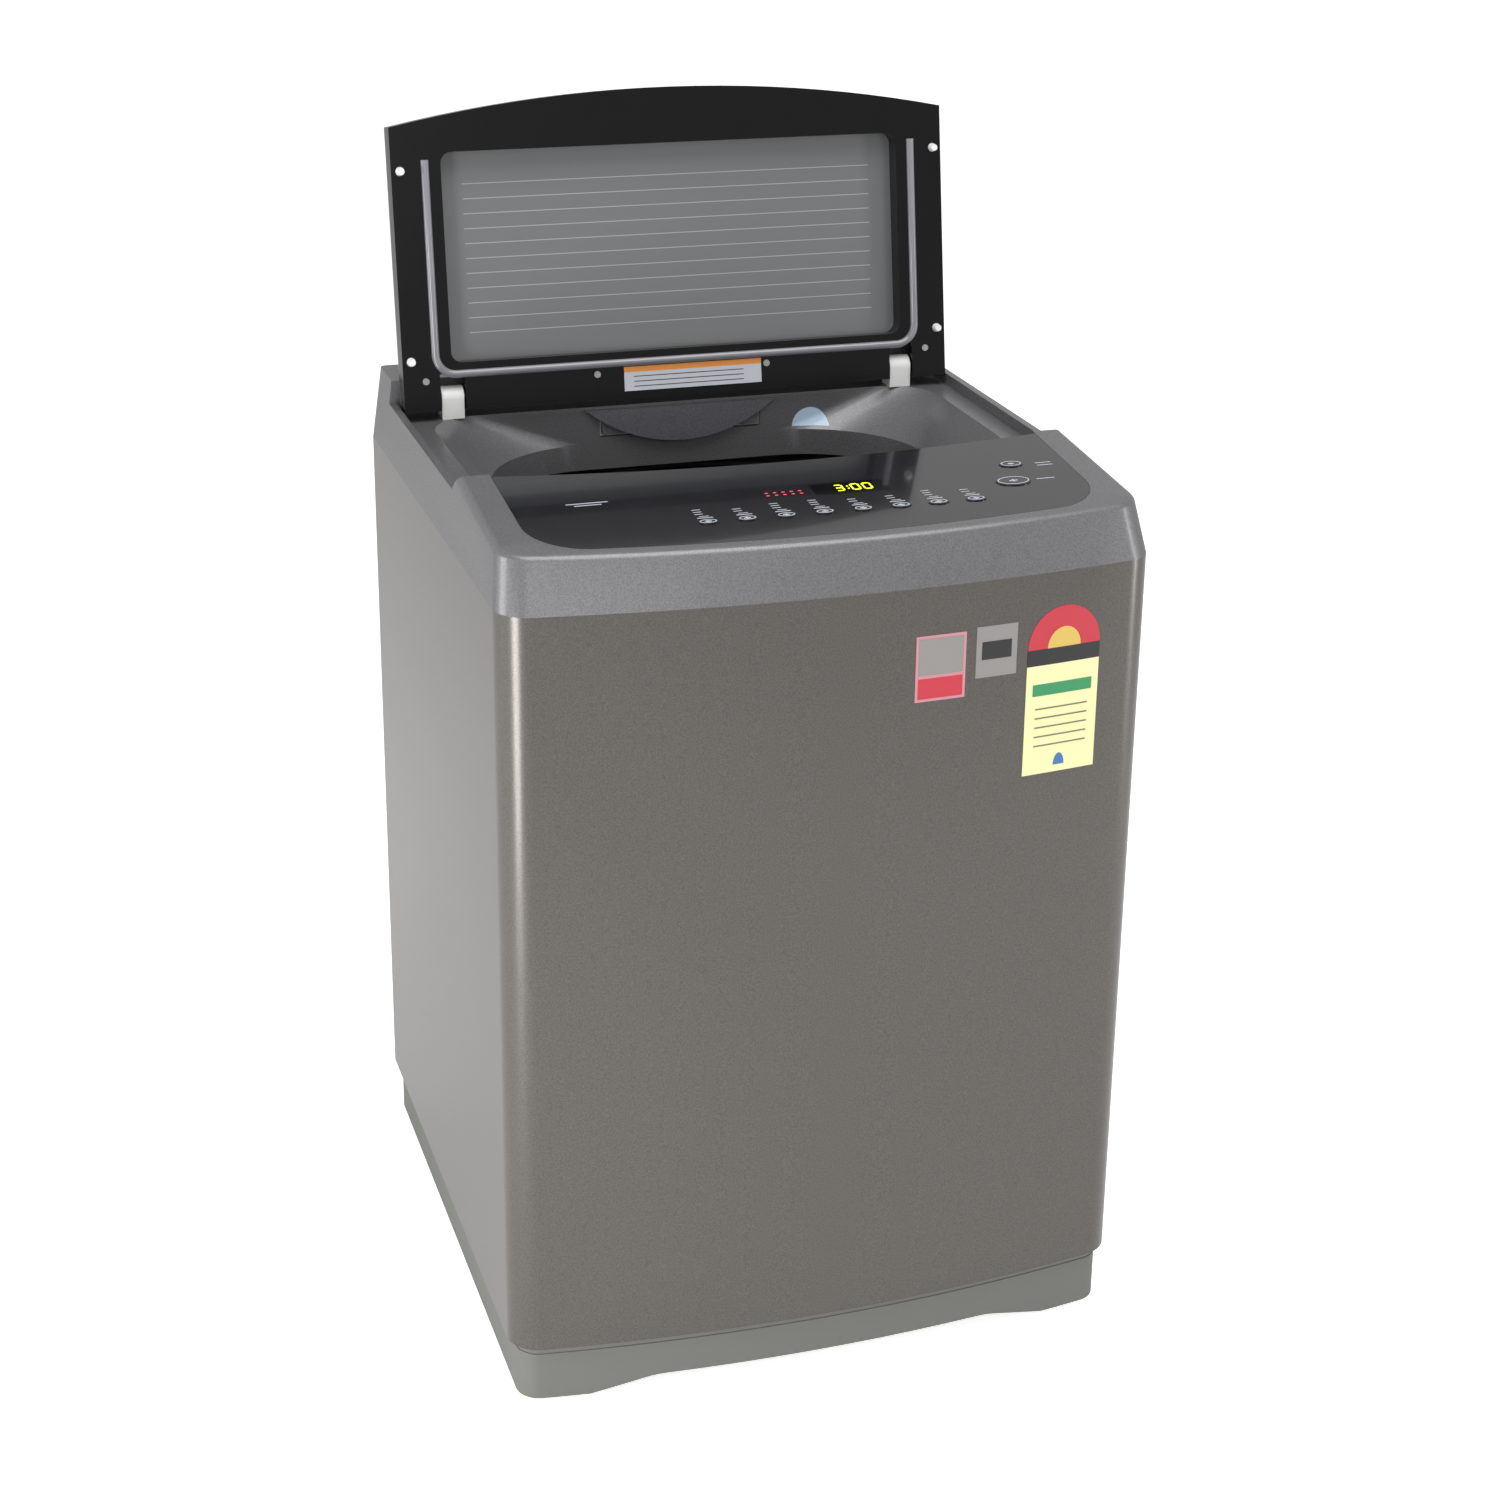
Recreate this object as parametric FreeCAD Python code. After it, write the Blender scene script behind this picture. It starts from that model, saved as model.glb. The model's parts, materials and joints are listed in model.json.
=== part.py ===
"""Top load washing machine, built as separate parts in millimetres.

Frame: +Z up, front towards -Y, origin on the floor under the middle of the cabinet.
The lid is modelled closed and then turned open about its hinge pins, which is its rest pose.
"""

import FreeCAD
import Part
import math
import os

V = FreeCAD.Vector

# ---------------------------------------------------------------- driving dimensions
WIDTH = 540.0            # cabinet, side to side
DEPTH = 540.0            # cabinet, front bow to rear
CABINET_TOP = 705.0      # seam of cabinet and top cover
CABINET_FOOT = 62.0      # seam of base and cabinet
FRONT_BOW = 18.0         # how far the front panel swells forward of its corners
CORNER_R = 28.0          # front vertical corners
REAR_CORNER_R = 6.0
SHEET = 1.0              # cabinet steel
FLANGE = 20.0            # rear and bottom folds of the cabinet
PART_GAP = 0.3           # clearance between parts that move past each other
SEAT_GAP = 0.2           # clearance at a moulded seat
SKIN_GAP = 0.1           # joint line of the lid's two halves

# base and feet
FOOT_GAP = 10.0          # floor to the base's lower edge
BASE_INSET = 7.0         # skirt inside the cabinet's outline
BASE_WALL = 3.0
BASE_ARCH_RISE = 12.0    # front skirt's lower edge between its feet
BASE_ARCH_HALF = 150.0   # half width of the raised stretch, and of each slope beside it
BASE_ARCH_SLOPE = 55.0
BASE_ARCH_R = 90.0
BASE_SHELF = 55.0        # cabinet's outline to the opening in the base
UPSTAND_HIGH = 12.0
FOOT_INSET = 65.0        # cabinet's outline to the feet's centres
FOOT_PAD_R = 20.0
FOOT_PAD_HIGH = 7.0
FOOT_STUD_R = 5.0
FOOT_STUD_TOP = 42.0
LOCK_NUT_R = 9.0

# top cover
RAIL_RISE = 45.0         # side rails above the cabinet seam
HUMP_RISE = 66.0         # rear hump above the cabinet seam
COVER_WALL = 3.0
COVER_DRAFT_SIDE = 9.0   # how far the top cover's walls lean in by the top
COVER_DRAFT_FRONT = 30.0
COVER_DRAFT_REAR = 5.0
BROW_R = 7.0             # rounding where the console turns down to the front
SEAT_DROP = 10.0         # lid seat below the rails
BASIN_MARGIN = 34.0      # cabinet's outline to the basin's sides
BASIN_SHELF = 15.0       # lid's rear edge to the basin's rear wall
BASIN_R = 45.0
COLLAR_MARGIN = 38.0     # basin's sides to the collar's
COLLAR_REACH = 58.0      # how far the collar runs under the console
COLLAR_R = 105.0
COLLAR_DEEP = 24.0

# lid, in its closed position
LID_MARGIN = 14.0        # cabinet's outline to the lid's sides
HUMP_DEEP = 69.0         # rear of the cabinet to the lid's rear edge
LID_LONG = 249.0         # rear edge to the front corners; the middle swells by LID_BULGE
LID_BULGE = 26.0
LID_THICK = 24.0
LID_WALL = 3.0
LID_LIFT = 6.0           # lid's underside above its seat
LID_GAP = 1.5            # lid to the rim of its seat
LID_OPEN = 99.0          # degrees from closed to the open stop
LID_HINGE_BACK = 11.0    # hinge axis to the lid's rear edge
LID_SWING_GAP = 2.7      # circle swept by the lid's rear edges to the hump's front
WINDOW_MARGIN = 44.0     # lid's sides to the window
WINDOW_NEAR = 31.0       # window edges measured from the hinge axis
WINDOW_LONG = 184.0
WINDOW_R = 10.0
GLASS_THICK = 4.0
GLASS_LAP = 7.0
BEAD_R = 3.5
BEAD_OUT = 14.0          # bead's centre line outside the window at the sides
BEAD_NEAR = 21.0         # bead's cross run from the hinge axis
BEAD_TURN = 18.0
KNUCKLE_WIDE = 20.0
KNUCKLE_R = 10.0
HINGE_PIN_R = 3.0
HINGE_PIN_LONG = 56.0

# console
CONSOLE_TILT = 6.0       # degrees down towards the front
CONSOLE_RISE = 14.0      # its rear end above the rails
PANEL_MARGIN = 34.0      # cabinet's outline to the panel's sides
PANEL_SET_BACK = 29.0    # front bow to the panel's front edge
PANEL_THICK = 3.0
PANEL_CORNER_R = 52.0
PANEL_BOW = 11.0
LIP_FOOT = 2.0           # console lip: distance of its foot and its brow from the closed lid
LIP_BROW = 24.0
LIP_BACK = 27.0

# keys: x positions along the front row; then x, y, half length and half width of the round ones
KEY_XS = [-92.0, -60.0, -28.0, 4.0, 36.0, 68.0, 100.0, 132.0]
KEY_BACK = -128.0        # key row behind the console's rear edge, along its face
KEY_LONG = 17.0
KEY_WIDE = 9.0
ROUND_KEYS = {"start_key": (176.0, -100.0, 15.0, 9.0), "power_key": (188.0, -66.0, 10.0, 6.0)}
KEY_PROUD = 0.8
KEY_DEEP = 1.8
KEY_STEM_R = 2.5
KEY_TRAVEL = 1.0
BOARD_DROP = 13.0
BOARD_THICK = 1.6
SWITCH_HIGH = 1.6
DISPLAY_X = 40.0
DISPLAY_BACK = -84.0
DISPLAY_LONG = 62.0
DISPLAY_WIDE = 22.0

# tub and drum
DRUM_Y = 20.0
TUB_R = 231.0
TUB_WALL = 3.0
TUB_FLOOR = 212.0
TUB_RIM_DROP = 36.0      # cabinet seam down to the tub's rim
TUB_MOUTH_R = 193.0
BASKET_R = 205.0
BASKET_WALL = 1.0
BASKET_FLOOR = 246.0
BALANCE_DROP = 4.0       # tub's rim down to the balance ring's top
BALANCE_HIGH = 50.0
BALANCE_WIDE = 25.0
BALANCE_PROUD = 4.0      # balance ring outside the basket
SEAM_LAP = 20.0          # basket wall up round the balance ring's neck
PULSATOR_INSET = 37.0    # basket's outside to the pulsator's edge
WASH_SHAFT_R = 8.0
SPIN_SHAFT_R = 16.0
SPIN_BEARING_WIDE = 12.0
NECK_WALL = 5.0

# drive
PLATE_TOP = 208.0
PLATE_THICK = 4.0
PULLEY_Z = 98.0
PULLEY_HIGH = 16.0
DRIVEN_PULLEY_R = 80.0
MOTOR_PULLEY_R = 20.0
MOTOR_X = 128.0
MOTOR_Y = -70.0
MOTOR_R = 50.0
MOTOR_SHAFT_R = 6.0
BELT_THICK = 5.0
BELT_HIGH = 10.0

# suspension
HANGER_SIDE = 42.0       # cabinet's outline to the rods at the sides, front and rear
HANGER_FRONT_IN = 62.0
HANGER_REAR_IN = 34.0
HANGER_DROP = 40.0       # cabinet seam down to the brackets
ROD_R = 4.0
ROD_FOOT = 168.0
ROD_BALL_R = 13.0
LUG_TOP = 296.0
LUG_FOOT = 272.0
SPRING_R = 15.0
SPRING_WIRE_R = 2.2
SPRING_TURNS = 8
CUP_R = 20.0
CUP_HIGH = 8.0

# dispenser drawer in the basin's rear wall
DRAWER_HALF = 74.0
DRAWER_LONG = 66.0
DRAWER_ROOF = 4.0        # underside of the lid seat down to the drawer's top
DRAWER_HIGH = 19.0
DRAWER_WALL = 2.0
FRONT_HALF = 90.0
FRONT_SAG = 32.0

# water and power fittings
NIPPLE_R = 13.2
NIPPLE_NECK_R = 11.5
NIPPLE_LONG = 18.0
NIPPLE_X = -150.0
PIPE_R = 5.0
DRAIN_R = 16.5
DRAIN_NECK_R = 15.5
DRAIN_BORE = 14.0
DRAIN_LONG = 30.0
DRAIN_X = -150.0
DRAIN_RISE = 34.0        # cabinet's foot to the spigot's axis
DRAIN_ELBOW_HIGH = 24.0
DRAIN_VALVE_Y = 165.0
FITTING_STEP = 0.5       # rear face to where the fittings' full size starts
GLAND_X = 205.0
GLAND_DROP = 90.0
GLAND_R = 8.0

# ---------------------------------------------------------------- derived places
RAIL_TOP = CABINET_TOP + RAIL_RISE
HUMP_TOP = CABINET_TOP + HUMP_RISE
SEAT_Z = RAIL_TOP - SEAT_DROP
LID_HALF = WIDTH / 2 - LID_MARGIN
LID_REAR = DEPTH / 2 - HUMP_DEEP
LID_FRONT = LID_REAR - LID_LONG
LID_FOOT = SEAT_Z + LID_LIFT
LID_TOP = LID_FOOT + LID_THICK
HINGE_Y = LID_REAR - LID_HINGE_BACK
HINGE_Z = LID_FOOT + LID_THICK / 2
WINDOW_HALF = LID_HALF - WINDOW_MARGIN
WINDOW_FAR = WINDOW_NEAR + WINDOW_LONG
KNUCKLE_X = WINDOW_HALF
HUMP_FRONT = HINGE_Y + math.hypot(LID_HINGE_BACK, LID_THICK / 2) + LID_SWING_GAP
BOW_RADIUS = ((WIDTH / 2 - CORNER_R) ** 2 + FRONT_BOW ** 2) / (2 * FRONT_BOW)
CONSOLE_REAR = LID_FRONT - LIP_BROW
CONSOLE_Z = RAIL_TOP + CONSOLE_RISE
CONSOLE_ORIGIN = V(0, CONSOLE_REAR, CONSOLE_Z)
PANEL_HALF = WIDTH / 2 - PANEL_MARGIN
PANEL_FRONT = -DEPTH / 2 + PANEL_SET_BACK
BASIN_HALF = WIDTH / 2 - BASIN_MARGIN
BASIN_FRONT = LID_FRONT + 6.0
BASIN_REAR = LID_REAR - BASIN_SHELF
COLLAR_HALF = BASIN_HALF - COLLAR_MARGIN
COLLAR_FRONT = BASIN_FRONT - COLLAR_REACH
COLLAR_TOP = CABINET_TOP
COLLAR_FOOT = COLLAR_TOP - COLLAR_DEEP
TUB_RIM = CABINET_TOP - TUB_RIM_DROP
BALANCE_TOP = TUB_RIM - BALANCE_DROP
BALANCE_FOOT = BALANCE_TOP - BALANCE_HIGH
BALANCE_MOUTH_R = BASKET_R + BALANCE_PROUD - BALANCE_WIDE
PULSATOR_R = BASKET_R - PULSATOR_INSET
FOOT_X = WIDTH / 2 - FOOT_INSET
FOOT_Y = DEPTH / 2 - FOOT_INSET
HANGER_X = WIDTH / 2 - HANGER_SIDE
HANGER_TOP = CABINET_TOP - HANGER_DROP
HANGERS = {
    "front_left": (-HANGER_X, -DEPTH / 2 + HANGER_FRONT_IN),
    "front_right": (HANGER_X, -DEPTH / 2 + HANGER_FRONT_IN),
    "rear_left": (-HANGER_X, DEPTH / 2 - HANGER_REAR_IN),
    "rear_right": (HANGER_X, DEPTH / 2 - HANGER_REAR_IN),
}
DRAWER_TOP = SEAT_Z - COVER_WALL - DRAWER_ROOF
DRAWER_FOOT = DRAWER_TOP - DRAWER_HIGH
GLAND_Z = CABINET_TOP - GLAND_DROP
DRAIN_Z = CABINET_FOOT + DRAIN_RISE
REAR_COVER_BACK = DEPTH / 2 - SHEET - SEAT_GAP
RAIL_SLOPE = math.tan(math.radians(CONSOLE_TILT))


# ---------------------------------------------------------------- small tools
def box(x0, x1, y0, y1, z0, z1):
    return Part.makeBox(x1 - x0, y1 - y0, z1 - z0, V(x0, y0, z0))


def rod(radius, z0, z1, x=0.0, y=0.0):
    return Part.makeCylinder(radius, z1 - z0, V(x, y, z0))


def cone(r0, r1, z0, z1, x=0.0, y=0.0):
    return Part.makeCone(r0, r1, z1 - z0, V(x, y, z0))


def rod_along_y(radius, y0, y1, x, z):
    return Part.makeCylinder(radius, y1 - y0, V(x, y0, z), V(0, 1, 0))


def rod_along_x(radius, x0, x1, y, z):
    return Part.makeCylinder(radius, x1 - x0, V(x0, y, z), V(1, 0, 0))


def ring(outer, inner, z0, z1, x=0.0, y=0.0):
    return rod(outer, z0, z1, x, y).cut(rod(inner, z0 - 1, z1 + 1, x, y))


def fuse(first, *others):
    return first.fuse(list(others)).removeSplitter()


def cut(body, *tools):
    return body.cut(list(tools))


def arc(a, b, c):
    return Part.Arc(a, b, c).toShape()


def line(a, b):
    return Part.LineSegment(a, b).toShape()


def prism(wire, z0, z1):
    """Solid between two heights from a wire drawn at z 0."""
    solid = Part.Face(wire).extrude(V(0, 0, z1 - z0))
    solid.translate(V(0, 0, z0))
    return solid


def plan_wire(z, side=0.0, front=0.0, rear=0.0, corner=CORNER_R, rear_corner=REAR_CORNER_R):
    """Cabinet outline at height z, drawn in by the given insets: bowed front, round corners."""
    half = WIDTH / 2 - side
    back = DEPTH / 2 - rear
    bow_centre = -DEPTH / 2 + front + BOW_RADIUS
    turn_x = half - corner
    turn_y = bow_centre - math.sqrt((BOW_RADIUS - corner) ** 2 - turn_x ** 2)
    scale = BOW_RADIUS / (BOW_RADIUS - corner)
    tangent = V(turn_x * scale, bow_centre + (turn_y - bow_centre) * scale, z)
    lean = math.atan2(turn_y - tangent.y, tangent.x - turn_x) / 2
    middle = V(turn_x + corner * math.cos(lean), turn_y - corner * math.sin(lean), z)
    near = rear_corner * (1 - math.sqrt(0.5))

    def flip(p):
        return V(-p.x, p.y, p.z)

    right = V(half, turn_y, z)
    right_back = V(half, back - rear_corner, z)
    round_back = V(half - near, back - near, z)
    back_right = V(half - rear_corner, back, z)
    return Part.Wire([
        arc(flip(tangent), V(0, -DEPTH / 2 + front, z), tangent),
        arc(tangent, middle, right),
        line(right, right_back),
        arc(right_back, round_back, back_right),
        line(back_right, flip(back_right)),
        arc(flip(back_right), flip(round_back), flip(right_back)),
        line(flip(right_back), flip(right)),
        arc(flip(right), flip(middle), flip(tangent)),
    ])


def cabinet_block(z0, z1, inset):
    """Solid with the cabinet's outline drawn in all round by inset."""
    wire = plan_wire(0, inset, inset, inset, CORNER_R - inset, max(REAR_CORNER_R - inset, 0.5))
    return prism(wire, z0, z1)


def round_box_wire(x0, x1, y0, y1, r, z=0.0):
    near = r * (1 - math.sqrt(0.5))
    corners = [(x0, y0, 1, 1), (x1, y0, -1, 1), (x1, y1, -1, -1), (x0, y1, 1, -1)]
    edges = []
    last = None
    for index, (x, y, sx, sy) in enumerate(corners):
        along_x = V(x + sx * r, y, z)
        along_y = V(x, y + sy * r, z)
        begin, end = (along_y, along_x) if index % 2 == 0 else (along_x, along_y)
        if last is not None:
            edges.append(line(last, begin))
        edges.append(arc(begin, V(x + sx * near, y + sy * near, z), end))
        last = end
    edges.append(line(last, V(x0, y0 + r, z)))
    return Part.Wire(edges)


def round_box(x0, x1, y0, y1, r, z0, z1):
    return prism(round_box_wire(x0, x1, y0, y1, r), z0, z1)


def loft(lower, upper):
    return Part.makeLoft([lower, upper], True, True)


def side_profile(points, half_width):
    """Solid from a polygon in the YZ plane, reaching half_width to each side."""
    wire = Part.makePolygon([V(-half_width, y, z) for y, z in points + points[:1]])
    return Part.Face(wire).extrude(V(2 * half_width, 0, 0))


def tilt_onto_console(shape):
    """Moves a shape drawn flat, rear edge at y 0 and face at z 0, onto the console's slope."""
    shape.rotate(V(0, 0, 0), V(1, 0, 0), CONSOLE_TILT)
    shape.translate(CONSOLE_ORIGIN)
    return shape


def save(name, *solids):
    shape = solids[0] if len(solids) == 1 else Part.makeCompound(list(solids))
    shape.exportStep(os.path.join("parts", name + ".step"))


# ---------------------------------------------------------------- base and feet
def foot_places():
    return {(sx, sy): (sx * FOOT_X, sy * FOOT_Y) for sx in (-1, 1) for sy in (-1, 1)}


def front_arch():
    """Space under the raised middle of the front skirt, with rounded shoulders."""
    shoulder = BASE_ARCH_HALF
    end = shoulder + BASE_ARCH_SLOPE
    high = FOOT_GAP + BASE_ARCH_RISE
    places = [(-end, 0), (-end, FOOT_GAP), (-shoulder, high), (shoulder, high), (end, FOOT_GAP), (end, 0)]
    wire = Part.makePolygon([V(x, -DEPTH, z) for x, z in places + places[:1]])
    arch = Part.Face(wire).extrude(V(0, DEPTH / 2 + BASE_SHELF, 0))
    shoulders = [e for e in arch.Edges if e.BoundBox.ZMin > high - 0.1 and e.BoundBox.XLength < 0.1]
    return arch.makeFillet(BASE_ARCH_R, shoulders)


def make_base():
    """Moulded base ring: skirt, top shelf, corner bosses for the feet, upstand inside the cabinet."""
    skirt = cut(
        cabinet_block(FOOT_GAP, CABINET_FOOT, BASE_INSET),
        cabinet_block(FOOT_GAP - 1, CABINET_FOOT - BASE_WALL, BASE_INSET + BASE_WALL),
    )
    side = WIDTH / 2 - BASE_SHELF
    end = DEPTH / 2 - BASE_SHELF
    upstand_top = CABINET_FOOT + UPSTAND_HIGH
    opening = round_box(-side, side, -end, end, 40, FOOT_GAP, upstand_top + 1)
    upstand = cut(
        cabinet_block(CABINET_FOOT, upstand_top, FLANGE + 1),
        cabinet_block(CABINET_FOOT - 1, upstand_top + 1, FLANGE + 1 + BASE_WALL),
    )
    body = cut(fuse(skirt, upstand), opening)
    for x, y in foot_places().values():
        body = fuse(body, rod(FOOT_PAD_R + 2, FOOT_GAP, CABINET_FOOT, x, y))
    drain_rest = box(DRAIN_X - 30, DRAIN_X + 30, end - 25, end + 40, CABINET_FOOT - 6, CABINET_FOOT)
    body = fuse(body, drain_rest)
    for x, y in foot_places().values():
        body = cut(body, rod(FOOT_STUD_R + PART_GAP, 0, CABINET_FOOT + 5, x, y))
    arch = front_arch()
    lip_line = cut(
        cabinet_block(CABINET_FOOT - 9, CABINET_FOOT - 7.8, BASE_INSET - 1),
        cabinet_block(CABINET_FOOT - 10, CABINET_FOOT, BASE_INSET + 0.8),
    )
    save("base_frame", cut(body, arch, lip_line))


def make_feet():
    """Front feet screw in and out; rear feet are the same pad on a fixed stud."""
    nuts = []
    rear_feet = []
    for (sx, sy), (x, y) in foot_places().items():
        pad = cone(FOOT_PAD_R, FOOT_PAD_R - 3, 0, FOOT_PAD_HIGH, x, y)
        stud = rod(FOOT_STUD_R, FOOT_PAD_HIGH, FOOT_STUD_TOP, x, y)
        if sy > 0:
            rear_feet.append(fuse(pad, stud))
            continue
        side = "left" if sx < 0 else "right"
        save(f"front_foot_{side}", fuse(pad, stud))
        nuts.append(cut(
            rod(LOCK_NUT_R, FOOT_PAD_HIGH + 0.5, FOOT_GAP - 0.2, x, y),
            rod(FOOT_STUD_R + PART_GAP, 0, FOOT_GAP, x, y),
        ))
    save("rear_feet", *rear_feet)
    save("foot_lock_nuts", *nuts)


# ---------------------------------------------------------------- cabinet
def make_cabinet():
    """One sheet wrapped round both sides and the front, with folded rear, top and bottom flanges."""
    inner = cabinet_block(CABINET_FOOT + SHEET, CABINET_TOP - SHEET, SHEET)
    shell = cut(cabinet_block(CABINET_FOOT, CABINET_TOP, 0), inner)
    well = cabinet_block(CABINET_FOOT - 1, CABINET_TOP + 1, FLANGE)
    rear_gap = box(
        -WIDTH / 2 + FLANGE, WIDTH / 2 - FLANGE,
        DEPTH / 2 - FLANGE - 10, DEPTH / 2 + 5, CABINET_FOOT - 1, CABINET_TOP + 1,
    )
    save("cabinet_wrap", cut(shell, well, rear_gap))


def rear_cover_ribs():
    ribs = []
    rib_depth = 3.0
    low = CABINET_FOOT + 120
    high = CABINET_TOP - 130
    for x in (-150, -75, 0, 75, 150):
        ribs.append(box(x - 9, x + 9, REAR_COVER_BACK, REAR_COVER_BACK + rib_depth, low, high))
    return ribs


def make_rear_cover():
    """Flat sheet behind the flanges, with pressed ribs and holes for the drain and cord gland."""
    back = REAR_COVER_BACK
    sheet = box(
        -WIDTH / 2 + REAR_CORNER_R + 1, WIDTH / 2 - REAR_CORNER_R - 1,
        back - SHEET, back, CABINET_FOOT + SHEET + SEAT_GAP, CABINET_TOP - SHEET - SEAT_GAP,
    )
    sheet = fuse(sheet, *rear_cover_ribs())
    drain_hole = rod_along_y(DRAIN_NECK_R + SEAT_GAP, back - 10, back + 10, DRAIN_X, DRAIN_Z)
    gland_hole = rod_along_y(GLAND_R + SEAT_GAP, back - 10, back + 10, GLAND_X, GLAND_Z)
    save("rear_cover", cut(sheet, drain_hole, gland_hole))


def make_cord_gland():
    """Strain relief bush clamped in the rear cover; the cord itself isn't part of this model."""
    back = REAR_COVER_BACK
    body = rod_along_y(GLAND_R, back - 8, back + 12, GLAND_X, GLAND_Z)
    head = rod_along_y(GLAND_R + 3, back + SEAT_GAP, back + 4, GLAND_X, GLAND_Z)
    bore = rod_along_y(4.0, back - 20, back + 20, GLAND_X, GLAND_Z)
    save("cord_gland", cut(fuse(body, head), bore))


def make_cabinet_screws():
    """Rear cover screws and the screws that hold the top cover to the cabinet's rear."""
    screws = []
    run = CABINET_TOP - CABINET_FOOT - 70
    for step in range(4):
        z = CABINET_FOOT + 40 + run * step / 3
        for x in (-WIDTH / 2 + 12, WIDTH / 2 - 12):
            screws.append(rod_along_y(4.0, DEPTH / 2, DEPTH / 2 + 2, x, z))
    save("cabinet_screws", *screws)


# ---------------------------------------------------------------- top cover
def lid_wire(off, z=0.0):
    """The closed lid's outline, grown by off: straight rear and sides, swelling front edge."""
    half = LID_HALF + off
    rear = LID_REAR + off
    front = LID_FRONT - off
    return Part.Wire([
        line(V(-half, front, z), V(-half, rear, z)),
        line(V(-half, rear, z), V(half, rear, z)),
        line(V(half, rear, z), V(half, front, z)),
        arc(V(half, front, z), V(0, front - LID_BULGE, z), V(-half, front, z)),
    ])


def cover_profile(drop):
    """Side profile of the top cover, lowered and drawn in by drop for its hollow inside."""
    console_drop = 2 * drop
    front = -DEPTH / 2 - 20
    return [
        (DEPTH / 2 + 5, CABINET_TOP - drop),
        (DEPTH / 2 + 5, HUMP_TOP - drop),
        (HUMP_FRONT + drop, HUMP_TOP - drop),
        (HUMP_FRONT + drop, RAIL_TOP - drop),
        (CONSOLE_REAR + CONSOLE_RISE - drop, RAIL_TOP - drop),
        (CONSOLE_REAR - drop, CONSOLE_Z - console_drop),
        (front, CONSOLE_Z - console_drop + (front - CONSOLE_REAR) * RAIL_SLOPE),
        (front, CABINET_TOP - drop),
    ]


def cover_form(inset):
    """Outer form of the top cover, or its inside when inset is the wall thickness."""
    low = CABINET_TOP - inset
    high = HUMP_TOP + 4
    lower = plan_wire(low, inset, inset, inset, CORNER_R - inset, REAR_CORNER_R)
    upper = plan_wire(
        high, COVER_DRAFT_SIDE + inset, COVER_DRAFT_FRONT + inset, COVER_DRAFT_REAR + inset,
        CORNER_R - inset, REAR_CORNER_R,
    )
    return loft(lower, upper).common(side_profile(cover_profile(inset), WIDTH))


def soften_cover(form):
    """Rounds the console's front brow, the long edge where its face turns down to the front."""
    brow = []
    for edge in form.Edges:
        b = edge.BoundBox
        if b.ZMin > CABINET_TOP + 20 and b.YMax < CONSOLE_REAR - 60 and b.XLength > 100:
            brow.append(edge)
    return form.makeFillet(BROW_R, brow)


def panel_wire(off, z=0.0):
    """Control panel outline in the console's own plane: bowed front, large front corners."""
    half = PANEL_HALF + off
    front = (PANEL_FRONT - CONSOLE_REAR) / math.cos(math.radians(CONSOLE_TILT)) - off
    rear = CONSOLE_RISE / 2 + off
    bow = PANEL_BOW
    r = PANEL_CORNER_R + off
    near = r * (1 - math.sqrt(0.5))
    right_low = V(half - r, front + bow, z)
    right_mid = V(half - near, front + bow + near, z)
    right = V(half, front + bow + r, z)
    rear_right = V(half, rear, z)

    def flip(p):
        return V(-p.x, p.y, p.z)

    return Part.Wire([
        arc(flip(right_low), V(0, front, z), right_low),
        arc(right_low, right_mid, right),
        line(right, rear_right),
        line(rear_right, flip(rear_right)),
        line(flip(rear_right), flip(right)),
        arc(flip(right), flip(right_mid), flip(right_low)),
    ])


def console_slab(off, top, bottom):
    """Slab with the panel's outline between two depths measured square to the console's face."""
    return tilt_onto_console(prism(panel_wire(off), bottom, top))


def lip_zone(off):
    """Block over the console's rear lip, as wide as the panel and following the lid's front edge."""
    side = PANEL_HALF + off
    return prism(lid_wire(LIP_BACK + off), SEAT_Z + LIP_FOOT, CONSOLE_Z + 20).common(
        box(-side, side, -DEPTH / 2, LID_FRONT + 10, CABINET_TOP, CONSOLE_Z + 30)
    )


def basin_space(off, below=0.0):
    """Space of the basin and of the collar under it, grown by off; below lengthens the collar."""
    upper = round_box_wire(
        -BASIN_HALF - off, BASIN_HALF + off, BASIN_FRONT - off, BASIN_REAR + off, BASIN_R, SEAT_Z)
    lower = round_box_wire(
        -COLLAR_HALF - off, COLLAR_HALF + off, COLLAR_FRONT - off, BASIN_REAR + off, COLLAR_R,
        COLLAR_TOP)
    collar = round_box(
        -COLLAR_HALF - off, COLLAR_HALF + off, COLLAR_FRONT - off, BASIN_REAR + off, COLLAR_R,
        COLLAR_FOOT - below, COLLAR_TOP)
    return loft(lower, upper), collar


def key_holes(grow, top, bottom):
    """Openings for all keys and the display, between two depths below the console's face."""
    holes = []
    for x in KEY_XS:
        holes.append(oval(x, KEY_BACK, KEY_LONG / 2 + grow, KEY_WIDE / 2 + grow, top, bottom))
    for x, y, long, wide in ROUND_KEYS.values():
        holes.append(oval(x, y, long + grow, wide + grow, top, bottom))
    return [tilt_onto_console(h) for h in holes]


def oval(x, y, half_long, half_wide, top, bottom):
    """Solid with an elliptic outline."""
    wire = Part.Wire(Part.Ellipse(V(x, y, 0), half_long, half_wide).toShape())
    return prism(wire, bottom, top)


def stem_holes(radius, top, bottom):
    places = [(x, KEY_BACK) for x in KEY_XS]
    places += [(x, y) for x, y, _, _ in ROUND_KEYS.values()]
    return [tilt_onto_console(rod(radius, bottom, top, x, y)) for x, y in places]


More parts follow.
